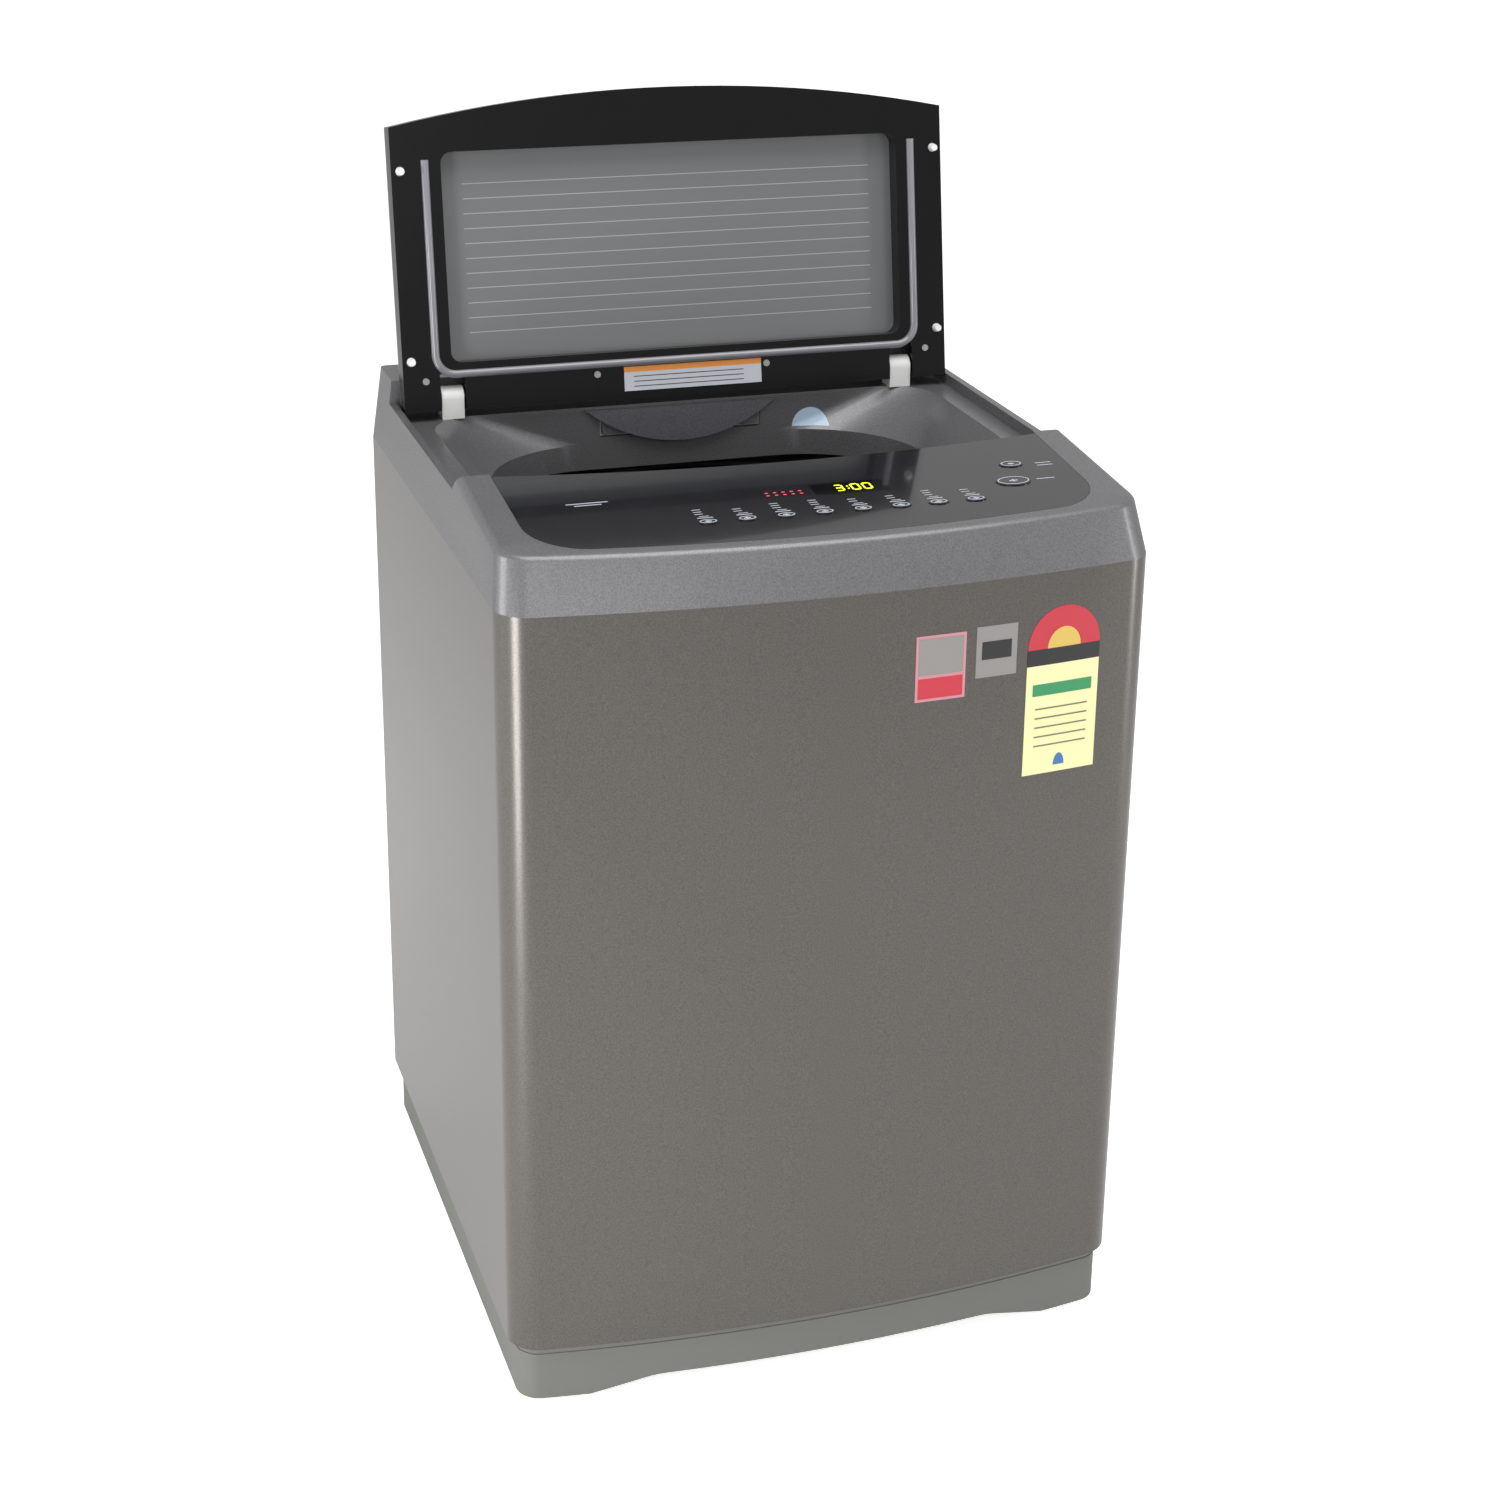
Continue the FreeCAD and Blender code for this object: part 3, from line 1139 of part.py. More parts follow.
# ---------------------------------------------------------------- drain
def make_drain():
    """Valve under the tub, bellows hose below it, and the elbow that leaves through the rear."""
    valve_top = TUB_FLOOR - SEAT_GAP
    valve_foot = valve_top - 36
    body = rod(24, valve_foot, valve_top, DRAIN_X, DRAIN_VALVE_Y)
    actuator = box(DRAIN_X - 20, DRAIN_X + 60, DRAIN_VALVE_Y - 14, DRAIN_VALVE_Y + 14,
                   valve_foot + 6, valve_top - 2)
    bore = rod(DRAIN_BORE, valve_foot - 1, valve_top + 1, DRAIN_X, DRAIN_VALVE_Y)
    save("drain_valve", cut(fuse(body, actuator), bore))

    elbow_top = DRAIN_Z + DRAIN_ELBOW_HIGH
    hose_top = valve_foot
    pleats = 7
    pitch = (hose_top - elbow_top) / pleats
    folds = []
    for fold in range(pleats):
        z = elbow_top + fold * pitch
        folds.append(cone(DRAIN_BORE + 3, DRAIN_BORE + 8, z, z + pitch / 2, DRAIN_X, DRAIN_VALVE_Y))
        folds.append(cone(DRAIN_BORE + 8, DRAIN_BORE + 3, z + pitch / 2, z + pitch,
                          DRAIN_X, DRAIN_VALVE_Y))
    hose = fuse(*folds)
    hose = cut(hose, rod(DRAIN_BORE, elbow_top - 1, hose_top + 1, DRAIN_X, DRAIN_VALVE_Y))
    save("drain_bellows", hose)

    out_end = REAR_COVER_BACK + DRAIN_LONG
    upright = rod(DRAIN_NECK_R, DRAIN_Z, elbow_top, DRAIN_X, DRAIN_VALVE_Y)
    turn = Part.makeSphere(DRAIN_NECK_R, V(DRAIN_X, DRAIN_VALVE_Y, DRAIN_Z))
    outlet = rod_along_y(DRAIN_NECK_R, DRAIN_VALVE_Y, out_end, DRAIN_X, DRAIN_Z)
    spigot = rod_along_y(DRAIN_R, DEPTH / 2 + FITTING_STEP, out_end, DRAIN_X, DRAIN_Z)
    foot_y = DEPTH / 2 - BASE_SHELF - 10
    foot = box(DRAIN_X - 12, DRAIN_X + 12, foot_y, foot_y + 30, CABINET_FOOT, DRAIN_Z)
    elbow = fuse(upright, turn, outlet, spigot, foot)
    inside = fuse(
        rod(DRAIN_BORE, DRAIN_Z, elbow_top + 1, DRAIN_X, DRAIN_VALVE_Y),
        Part.makeSphere(DRAIN_BORE, V(DRAIN_X, DRAIN_VALVE_Y, DRAIN_Z)),
        rod_along_y(DRAIN_BORE, DRAIN_VALVE_Y, out_end + 1, DRAIN_X, DRAIN_Z),
    )
    save("drain_outlet", cut(elbow, inside))


# ---------------------------------------------------------------- suspension
def make_suspension():
    """Four rods hung on ball caps in the cabinet's corners; the tub's lugs ride on springs."""
    brackets = []
    rods = []
    springs = []
    cup_top = ROD_FOOT + CUP_HIGH
    for x, y in HANGERS.values():
        sx = 1 if x > 0 else -1
        plate_edge = WIDTH / 2 - SHEET - SEAT_GAP
        low_y, high_y = (y - 14, y + 30) if y < 0 else (y - 30, y + 14)
        plate = box(
            min(sx * (HANGER_X - 22), sx * plate_edge), max(sx * (HANGER_X - 22), sx * plate_edge),
            low_y, high_y, HANGER_TOP - 3, HANGER_TOP,
        )
        flange = box(
            min(sx * plate_edge, sx * (plate_edge - 2)), max(sx * plate_edge, sx * (plate_edge - 2)),
            low_y, high_y, HANGER_TOP - 40, HANGER_TOP,
        )
        bracket = cut(fuse(plate, flange), rod(ROD_R + 2, HANGER_TOP - 4, HANGER_TOP + 1, x, y))
        brackets.append(bracket)
        stem = rod(ROD_R, ROD_FOOT, HANGER_TOP + 6, x, y)
        cup = rod(CUP_R, ROD_FOOT, cup_top, x, y)
        ball = Part.makeSphere(ROD_BALL_R, V(x, y, HANGER_TOP + 0.2)).common(
            box(x - 20, x + 20, y - 20, y + 20, HANGER_TOP + 0.2, HANGER_TOP + 20))
        rods.append(fuse(stem, cup, ball))
        springs.append(spring_solid(x, y, cup_top, LUG_FOOT))
    save("suspension_brackets", *brackets)
    save("suspension_rods", *rods)
    save("suspension_springs", *springs)


def spring_solid(x, y, z0, z1):
    """Coil spring between two heights, its ends just clear of their seats."""
    low = z0 + SPRING_WIRE_R + SEAT_GAP
    high = z1 - SPRING_WIRE_R - SEAT_GAP
    pitch = (high - low) / SPRING_TURNS
    path = Part.Wire(Part.makeHelix(pitch, high - low, SPRING_R))
    circle = Part.Wire(Part.Circle(V(SPRING_R, 0, 0), V(0, 1, 0), SPRING_WIRE_R).toShape())
    coil = path.makePipeShell([circle], True, True)
    coil.translate(V(x, y, low))
    return coil


def main():
    os.makedirs("parts", exist_ok=True)
    make_base()
    make_feet()
    make_cabinet()
    make_rear_cover()
    make_cord_gland()
    make_cabinet_screws()
    make_top_cover()
    make_control_panel()
    make_display()
    make_keys()
    make_control_board()
    make_lid_inner()
    make_lid_outer()
    make_lid_glass()
    make_lid_bead()
    make_lid_bumpers()
    make_lid_screws()
    make_hinge()
    make_lid_lock()
    make_dispenser()
    make_inlet_valve()
    make_outer_tub()
    make_tub_ring()
    make_support_plate()
    make_gearbox()
    make_bearings()
    make_motor()
    make_drive_belt()
    make_wash_drive()
    make_pulsator()
    make_basket()
    make_balance_ring()
    make_lint_filters()
    make_drain()
    make_suspension()


main()
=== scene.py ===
import json
import math

import bmesh
import bpy
from mathutils import Matrix, Vector
from mathutils.bvhtree import BVHTree


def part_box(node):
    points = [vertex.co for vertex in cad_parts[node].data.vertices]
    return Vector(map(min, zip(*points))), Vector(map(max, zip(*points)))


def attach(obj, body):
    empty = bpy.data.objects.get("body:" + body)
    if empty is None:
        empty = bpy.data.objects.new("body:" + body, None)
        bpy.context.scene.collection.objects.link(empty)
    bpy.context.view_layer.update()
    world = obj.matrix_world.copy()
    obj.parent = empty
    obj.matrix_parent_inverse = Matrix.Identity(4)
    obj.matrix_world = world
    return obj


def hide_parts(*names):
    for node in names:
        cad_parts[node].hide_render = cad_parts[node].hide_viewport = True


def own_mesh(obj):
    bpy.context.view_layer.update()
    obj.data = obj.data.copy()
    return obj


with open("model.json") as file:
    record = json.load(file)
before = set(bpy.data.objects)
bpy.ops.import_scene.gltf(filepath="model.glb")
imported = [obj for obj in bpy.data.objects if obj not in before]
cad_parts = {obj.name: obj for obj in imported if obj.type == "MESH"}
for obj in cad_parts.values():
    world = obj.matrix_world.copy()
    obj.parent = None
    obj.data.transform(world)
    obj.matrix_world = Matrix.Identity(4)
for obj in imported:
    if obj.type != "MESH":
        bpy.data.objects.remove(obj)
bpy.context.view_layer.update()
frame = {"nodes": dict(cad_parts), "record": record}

MM = 0.001


# ------------------------------------------------------------------ painted steel cabinet
# One steel sheet goes round both sides and the front, bowed at the front with rolled corners.
# It is pre-coated in a warm grey metallic paint: fine flake under a smooth, half-gloss film.
CABINET_GREY = "#5f5b57"
FLAKE_MM = 1.2           # real flake is finer than 0.1 mm, so it is drawn coarse enough to show
ORANGE_PEEL_MM = 6.0


def linear(colour):
    """An sRGB hex colour as linear red, green, blue and alpha."""
    parts = [int(colour[i:i + 2], 16) / 255 for i in (1, 3, 5)]
    return [p / 12.92 if p <= 0.04045 else ((p + 0.055) / 1.055) ** 2.4 for p in parts] + [1.0]


def add(tree, kind, settings=None, **links):
    """Adds a node, gives its fields or sockets their settings, and links sockets by name."""
    node = tree.nodes.new("ShaderNode" + kind)
    for name, value in (settings or {}).items():
        if name in node.inputs:
            node.inputs[name].default_value = value
        else:
            setattr(node, name, value)
    for name, source in links.items():
        tree.links.new(source, node.inputs[name.replace("_", " ")])
    return node


def new_finish(name, settings):
    """A material with one Principled shader, set from typical values for what it is made of."""
    material = bpy.data.materials.new(name)
    material.use_nodes = True
    tree = material.node_tree
    surface = tree.nodes["Principled BSDF"]
    for socket, value in settings.items():
        surface.inputs[socket].default_value = value
    place = add(tree, "TexCoord").outputs["Object"]
    return material, tree, surface, place


def noise(tree, place, size_mm, detail=2.0):
    """Noise whose grain is about size_mm across."""
    return add(tree, "TexNoise", {"Scale": 1 / (size_mm * MM), "Detail": detail}, Vector=place)


def bump(tree, surface, height, depth_mm, strength=1.0):
    relief = add(tree, "Bump", {"Distance": depth_mm * MM, "Strength": strength}, Height=height)
    tree.links.new(relief.outputs["Normal"], surface.inputs["Normal"])
    return relief


def tint(tree, surface, factor, low, high, socket="Base Color"):
    """Mixes two colours by a factor and feeds the surface."""
    ramp = add(tree, "ValToRGB", Fac=factor)
    ramp.color_ramp.elements[0].position = 0.35
    ramp.color_ramp.elements[1].position = 0.65
    ramp.color_ramp.elements[0].color = linear(low)
    ramp.color_ramp.elements[1].color = linear(high)
    tree.links.new(ramp.outputs["Color"], surface.inputs[socket])


def coated_steel(name, colour, light, dark):
    material, tree, surface, place = new_finish(name, {
        "Base Color": linear(colour), "Metallic": 0.6, "Roughness": 0.3,
        "Coat Weight": 0.25, "Coat Roughness": 0.15,
    })
    flake = noise(tree, place, FLAKE_MM, 1.0)
    tint(tree, surface, flake.outputs["Fac"], dark, light)
    bump(tree, surface, noise(tree, place, ORANGE_PEEL_MM).outputs["Fac"], 0.012)
    return material


def finished_copy(node, material, sharp=28.0, name=None):
    """A copy of a CAD part with its facets joined and shaded smooth between sharper edges."""
    form = bmesh.new()
    form.from_mesh(frame["nodes"][node].data)
    bmesh.ops.remove_doubles(form, verts=form.verts, dist=0.002 * MM)
    bmesh.ops.dissolve_degenerate(form, edges=form.edges, dist=0.002 * MM)
    for face in form.faces:
        face.smooth = True
    for edge in form.edges:
        edge.smooth = edge.calc_face_angle(math.pi) < math.radians(sharp)
    return settle(form, name or node + "_piece", material, body_of_node(node), node)


def body_of_node(node):
    for body, nodes in frame["record"]["behaviour"]["bodies"].items():
        if node in nodes:
            return body


def settle(form, name, material, body, *nodes, slot=None):
    """Turns a bmesh into a piece that rides on a body, in place of any CAD nodes named."""
    mesh = bpy.data.meshes.new(name)
    form.to_mesh(mesh)
    form.free()
    mesh.materials.clear()
    mesh.materials.append(material)
    piece = bpy.data.objects.new(name, mesh)
    bpy.context.scene.collection.objects.link(piece)
    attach(piece, body)
    if nodes:
        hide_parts(*nodes)
    return piece


cabinet_paint = coated_steel("pre_coated_steel", CABINET_GREY, "#65615d", "#595551")
finished_copy("cabinet_wrap", cabinet_paint, 20.0)
cabinet_low, cabinet_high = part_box("cabinet_wrap")
FRONT_BOW = 18 * MM
CORNER_R = 28 * MM


def front_y(x):
    """Y of the bowed front panel at a given x."""
    half = cabinet_high.x - CORNER_R
    radius = (half ** 2 + FRONT_BOW ** 2) / (2 * FRONT_BOW)
    return cabinet_low.y + radius - math.sqrt(radius ** 2 - x ** 2)


# ------------------------------------------------------------------ stickers on the front
# Three printed vinyl labels sit high on the right of the front: two squares and a tall one.
# They are plain coloured shapes on thin film, laid on the bowed steel.
FILM_MM = 0.25


def vinyl(colour_name, colour):
    """Gloss printed vinyl in one ink colour."""
    material, tree, surface, place = new_finish("printed_vinyl_" + colour_name, {
        "Base Color": linear(colour), "Roughness": 0.35, "Coat Weight": 0.3})
    bump(tree, surface, noise(tree, place, 2.0).outputs["Fac"], 0.02)
    return material


def front_label(name, x, z, wide, high, ink, round_top=False, lift=1):
    """A flat shape laid on the bowed front; x and z are its lower left corner, all in metres."""
    form = bmesh.new()
    bmesh.ops.create_grid(form, x_segments=16, y_segments=12, size=0.5)
    for vert in form.verts:
        u = vert.co.x + 0.5
        v = vert.co.y + 0.5
        if round_top:
            angle = math.pi * (1 - u)
            vert.co = Vector((math.cos(angle) * v / 2 + 0.5, 0, math.sin(angle) * v))
        else:
            vert.co = Vector((u, 0, v))
        vert.co.x = x + vert.co.x * wide
        vert.co.z = z + vert.co.z * high
        vert.co.y = front_y(vert.co.x) - FILM_MM * MM * lift
    bmesh.ops.remove_doubles(form, verts=form.verts, dist=0.0001 * MM)
    bmesh.ops.solidify(form, geom=form.faces, thickness=FILM_MM * MM * 0.8)
    bmesh.ops.recalc_face_normals(form, faces=form.faces)
    return settle(form, name, ink, "cabinet", slot="white_plastic")


vinyl_pink = vinyl("pink", "#c98a93")
vinyl_grey = vinyl("grey", "#8e8a88")
vinyl_red = vinyl("red", "#c22f3e")
vinyl_black = vinyl("black", "#1d1b1c")
vinyl_cream = vinyl("cream", "#f0ebb0")
vinyl_gold = vinyl("gold", "#d9b75a")
vinyl_green = vinyl("green", "#2f8f5a")
vinyl_blue = vinyl("blue", "#3f6fae")
vinyl_olive = vinyl("olive", "#77745f")
label_top = cabinet_high.z
front_label("square_label_border", 0.057, label_top - 0.095, 0.043, 0.055, vinyl_pink)
front_label("square_label_face", 0.0593, label_top - 0.073, 0.0384, 0.0307, vinyl_grey, lift=2)
front_label("square_label_band", 0.0593, label_top - 0.0927, 0.0384, 0.017, vinyl_red, lift=2)
front_label("small_label", 0.109, label_top - 0.081, 0.036, 0.043, vinyl_grey)
front_label("small_label_mark", 0.114, label_top - 0.066, 0.026, 0.015, vinyl_black, lift=2)
tall_x = 0.155
tall_low = label_top - 0.172
TALL_WIDE = 0.066
PAPER_HIGH = 0.094       # pale body of the tall label
BAND_HIGH = 0.014        # black band above it, under the half round
arch_low = tall_low + PAPER_HIGH + BAND_HIGH
front_label("tall_label", tall_x, tall_low, TALL_WIDE, PAPER_HIGH, vinyl_cream)
front_label("tall_label_band", tall_x, tall_low + PAPER_HIGH, TALL_WIDE, BAND_HIGH, vinyl_black)
front_label("tall_label_arch", tall_x, arch_low, TALL_WIDE, 0.035, vinyl_red, True)
front_label("tall_label_core", tall_x + 0.018, arch_low, 0.030, 0.017, vinyl_gold, True, 2)
front_label("tall_label_bar", tall_x + 0.006, tall_low + 0.068, 0.054, 0.010, vinyl_green, lift=2)
front_label("tall_label_spot", tall_x + 0.028, tall_low + 0.006, 0.010, 0.010, vinyl_blue, True, 2)
for row in range(5):
    front_label(
        "tall_label_rule_" + str(row + 1), tall_x + 0.009, tall_low + 0.024 + 0.008 * row,
        0.048, 0.0012, vinyl_olive, lift=2)


# ------------------------------------------------------------------ base, feet and rear
# The base is a grey moulded skirt with a fine spark-eroded grain; the feet are black rubber.
# The back is a plain zinc-coated sheet with pressed ribs, held by small screws.
GRAIN_MM = 1.6


def moulded(name, colour, rough, grain_depth_mm=0.03, settings=None):
    material, tree, surface, place = new_finish(name, {
        "Base Color": linear(colour), "Roughness": rough, **(settings or {})})
    bump(tree, surface, noise(tree, place, GRAIN_MM, 3.0).outputs["Fac"], grain_depth_mm)
    return material


def zinc_coated(name, colour="#a5a7a5"):
    """Hot-dip zinc: pale grey with a soft crystal pattern in its gloss."""
    material, tree, surface, place = new_finish(name, {
        "Base Color": linear(colour), "Metallic": 0.9, "Roughness": 0.45})
    spangle = add(tree, "TexVoronoi", {"Scale": 1 / (9 * MM)}, Vector=place)
    crystal = add(tree, "SeparateColor", Color=spangle.outputs["Color"])
    tint(tree, surface, crystal.outputs["Red"], "#9fa1a0", "#a9aba9")
    bump(tree, surface, spangle.outputs["Distance"], 0.01)
    return material


base_grey = moulded("moulded_base", "#6e6f6a", 0.6, 0.05)
foot_rubber = moulded("foot_rubber", "#1c1c1d", 0.75, 0.08)
zinc = zinc_coated("zinc_coated_steel")
finished_copy("base_frame", base_grey)
for foot in ("front_foot_left", "front_foot_right", "rear_feet"):
    finished_copy(foot, foot_rubber)
for plated in ("foot_lock_nuts", "rear_cover", "cabinet_screws"):
    finished_copy(plated, zinc)
finished_copy("cord_gland", foot_rubber)


# ------------------------------------------------------------------ top cover
# The deck is one ABS moulding in dark metallic grey: rails, lid seat, basin, console bed, hump.
# It is high gloss with a trace of flake and a slight waviness from the mould.
def metallic_abs(name, colour, light, dark, rough=0.3):
    material, tree, surface, place = new_finish(name, {
        "Base Color": linear(colour), "Metallic": 0.45, "Roughness": rough,
        "Coat Weight": 0.25, "Coat Roughness": 0.15})
    tint(tree, surface, noise(tree, place, FLAKE_MM, 1.0).outputs["Fac"], dark, light)
    bump(tree, surface, noise(tree, place, 14.0, 1.0).outputs["Fac"], 0.03)
    return material


deck_grey = metallic_abs("metallic_deck", "#6c6b6d", "#747375", "#646365", 0.4)
finished_copy("top_cover", deck_grey, 22.0)


# ------------------------------------------------------------------ sticker in the basin
# A pale blue half-round vinyl sticker clings to the basin's rear wall, right of the dispenser.
# Each of its points is carried straight back onto the moulded wall, so it follows the wall's lean.
STICKER_R = 17 * MM
STICKER_X = 0.125
STICKER_LIFT = 0.3 * MM  # clear of the wall
BASIN_MIDDLE_Y = 0.05    # the points start here, in the open basin
BASIN_REACH = 0.13       # from there to the wall, where a point meets none
STICKER_RISE = 3 * MM    # cabinet seam up to the sticker's flat edge
sticker = bmesh.new()
bmesh.ops.create_grid(sticker, x_segments=20, y_segments=8, size=0.5)
cover = BVHTree.FromPolygons(
    [v.co for v in frame["nodes"]["top_cover"].data.vertices],
    [tuple(f.vertices) for f in frame["nodes"]["top_cover"].data.polygons])
for vert in sticker.verts:
    angle = math.pi * (0.5 - vert.co.x)
    reach = STICKER_R * (vert.co.y + 0.5)
    start = Vector((
        STICKER_X + reach * math.cos(angle), BASIN_MIDDLE_Y,
        cabinet_high.z + STICKER_RISE + reach * math.sin(angle)))
    spot = cover.ray_cast(start, Vector((0, 1, 0)))[0] or start + Vector((0, BASIN_REACH, 0))
    vert.co = spot - Vector((0, STICKER_LIFT, 0))
bmesh.ops.remove_doubles(sticker, verts=sticker.verts, dist=0.0001 * MM)
bmesh.ops.solidify(sticker, geom=sticker.faces, thickness=0.15 * MM)
bmesh.ops.recalc_face_normals(sticker, faces=sticker.faces)
settle(sticker, "basin_sticker", vinyl("pale_blue", "#b5cade"), "cabinet", slot="white_plastic")


# ------------------------------------------------------------------ control panel
# A piano-black acrylic fascia slopes towards the user; its rear lip dips to the lid as a groove.
# The surface is polished, so it needs only a very faint haze.
def polished_black(name, colour="#17171a", rough=0.07, coat=0.5, gloss=0.5):
    material, tree, surface, place = new_finish(name, {
        "Base Color": linear(colour), "Roughness": rough, "IOR": 1.49, "Coat Weight": coat,
        "Specular IOR Level": gloss, "Coat Roughness": 0.03})
    haze = noise(tree, place, 30.0, 2.0)
    spread = add(
        tree, "MapRange", {"To Min": rough, "To Max": rough + 0.06}, Value=haze.outputs["Fac"])
    tree.links.new(spread.outputs["Result"], surface.inputs["Roughness"])
    return material


fascia_black = polished_black("piano_black_fascia", "#1d1d21")
finished_copy("control_panel", fascia_black, 24.0)
FASCIA_TILT = math.radians(6)
WINDOW_WIDE = 22 * MM    # display window, measured along the slope
display_low, display_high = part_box("display_window")
display_mid = (display_low + display_high) / 2
fascia_x = display_mid.x
fascia_face = Vector((0, display_low.y, display_high.z - math.sin(FASCIA_TILT) * WINDOW_WIDE))


def on_fascia(x, back, lift_mm=0.0):
    """Point on the sloping face: x, distance along the slope from the display's front edge."""
    along = Vector((0, math.cos(FASCIA_TILT), math.sin(FASCIA_TILT)))
    up = Vector((0, -math.sin(FASCIA_TILT), math.cos(FASCIA_TILT)))
    return Vector((x, fascia_face.y, fascia_face.z)) + along * back + up * lift_mm * MM


def fascia_plate(form, x, back, wide, long, lift_mm=0.1, thick_mm=0.12):
    """Adds a thin printed bar to a bmesh, lying on the sloping face."""
    made = bmesh.ops.create_cube(form, size=1.0)["verts"]
    bmesh.ops.scale(form, verts=made, vec=(wide, long, thick_mm * MM))
    bmesh.ops.rotate(form, verts=made, cent=(0, 0, 0), matrix=Matrix.Rotation(FASCIA_TILT, 3, "X"))
    bmesh.ops.translate(form, verts=made, vec=on_fascia(x, back, lift_mm))


print_white, tree, surface, place = new_finish("screen_print_white", {
    "Base Color": linear("#b9bcc4"), "Roughness": 0.5})
bump(tree, surface, noise(tree, place, 0.8).outputs["Fac"], 0.01)
KEY_XS = [(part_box("program_key_" + str(n))[0].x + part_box("program_key_" + str(n))[1].x) / 2
          for n in range(1, 9)]
key_mid = (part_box("program_key_4")[0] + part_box("program_key_4")[1]) / 2
KEY_ROW = (key_mid.y - fascia_face.y) / math.cos(FASCIA_TILT)

prints = bmesh.new()
for index, x in enumerate(KEY_XS):
    fascia_plate(prints, x, KEY_ROW + 8.5 * MM, 13 * MM, 1.1 * MM)
    fascia_plate(prints, x, KEY_ROW + 11.5 * MM, 8 * MM, 0.8 * MM)
    for row in range(3 if index in (0, 2, 3, 6) else 2):
        fascia_plate(prints, x - 3 * MM, KEY_ROW + (16 + 4.2 * row) * MM, 7 * MM, 0.9 * MM)
for row in range(2):
    fascia_plate(prints, -175 * MM, (22 - 4 * row) * MM, (34 - 12 * row) * MM, 1.3 * MM)
    fascia_plate(prints, 216 * MM, (28 - 5 * row) * MM, 14 * MM, 1.1 * MM)
fascia_plate(prints, 205 * MM, -4 * MM, 16 * MM, 1.1 * MM)
settle(prints, "fascia_print", print_white, "cabinet", slot="white_plastic")


# ------------------------------------------------------------------ display and lamps
# A smoked window shows seven-segment digits in yellow-green, with red program lamps beside it.
# Digits and lamps glow by themselves, so their materials give off a little light.
SEGMENT = 1.5 * MM       # stroke width of a digit
DIGIT_WIDE = 6.2 * MM
DIGIT_HIGH = 11 * MM


def glowing(name, colour, strength):
    material, tree, surface, place = new_finish(name, {
        "Base Color": linear(colour), "Emission Color": linear(colour),
        "Emission Strength": strength, "Roughness": 0.4})
    bump(tree, surface, noise(tree, place, 0.6).outputs["Fac"], 0.005)
    return material


smoked = polished_black("smoked_display", "#0c0c0e", 0.05)
finished_copy("display_window", smoked)
digit_glow = glowing("digit_yellow_green", "#cfd92a", 1.6)
lamp_glow = glowing("lamp_red", "#d4414b", 1.2)
SEGMENT_ACROSS = {"a": 0.5, "d": 0.5, "g": 0.5, "b": 1, "c": 1, "e": 0, "f": 0}
SEGMENT_BACK = {"a": 1, "d": 0, "g": 0.5, "b": 0.75, "c": 0.25, "e": 0.25, "f": 0.75}
SEGMENTS = {"3": "abgcd", "0": "abcdef"}
digits = bmesh.new()
for index, digit in enumerate("300"):
    left = fascia_x + (index * 10 - 12 + (4 if index else 0)) * MM
    low = 5.5 * MM
    for part in SEGMENTS[digit]:
        across = part in "adg"
        x = left + SEGMENT_ACROSS[part] * DIGIT_WIDE
        back = low + SEGMENT_BACK[part] * DIGIT_HIGH
        wide = DIGIT_WIDE * 0.8 if across else SEGMENT
        long = SEGMENT if across else DIGIT_HIGH * 0.42
        fascia_plate(digits, x, back, wide, long, 0.08, 0.1)
for dot in (0.3, 0.7):
    fascia_plate(digits, fascia_x - 1.2 * MM, low + dot * DIGIT_HIGH, SEGMENT, SEGMENT, 0.08, 0.1)
settle(digits, "display_digits", digit_glow, "cabinet", slot="display")
lamps = bmesh.new()
for x in range(5):
    for row in range(2):
        fascia_plate(lamps, fascia_x - (42 + 7 * x) * MM, (7 + 5 * row) * MM, 2.6 * MM, 1.2 * MM)
settle(lamps, "program_lamps", lamp_glow, "cabinet", slot="display")


# ------------------------------------------------------------------ keys
# Eight oval keys stand in a row, with a start key and a power key at the right in larger ovals.
# Caps are gloss black; a pale printed rim and a small pictogram bar make each one readable.
key_black = polished_black("key_cap_black", "#1f1f23", 0.12)


def rim_on_key(node, half_long, half_wide, bar):
    """Thin pale ring round a key's cap, and a bar on its face; both move with the key."""
    low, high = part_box(node)
    x = (low.x + high.x) / 2
    back = ((low.y + high.y) / 2 - fascia_face.y) / math.cos(FASCIA_TILT)
    ring = bmesh.new()
    outer = bmesh.ops.create_circle(ring, segments=40, radius=1.0)["verts"]
    bmesh.ops.scale(ring, verts=outer, vec=(half_long, half_wide, 1))
    inner = bmesh.ops.create_circle(ring, segments=40, radius=1.0)["verts"]
    bmesh.ops.scale(ring, verts=inner, vec=(half_long - 0.9 * MM, half_wide - 0.9 * MM, 1))
    bmesh.ops.bridge_loops(ring, edges=ring.edges)
    bmesh.ops.solidify(ring, geom=ring.faces, thickness=0.15 * MM)
    bmesh.ops.recalc_face_normals(ring, faces=ring.faces)
    bmesh.ops.rotate(
        ring, verts=ring.verts, cent=(0, 0, 0), matrix=Matrix.Rotation(FASCIA_TILT, 3, "X"))
    bmesh.ops.translate(ring, verts=ring.verts, vec=on_fascia(x, back, 0.95))
    fascia_plate(ring, x, back, bar, 1.6 * MM, 0.87, 0.15)
    fascia_plate(ring, x, back, 1.6 * MM, bar * 0.6, 0.87, 0.15)
    return settle(ring, node + "_rim", print_white, node + "_body", slot="white_plastic")


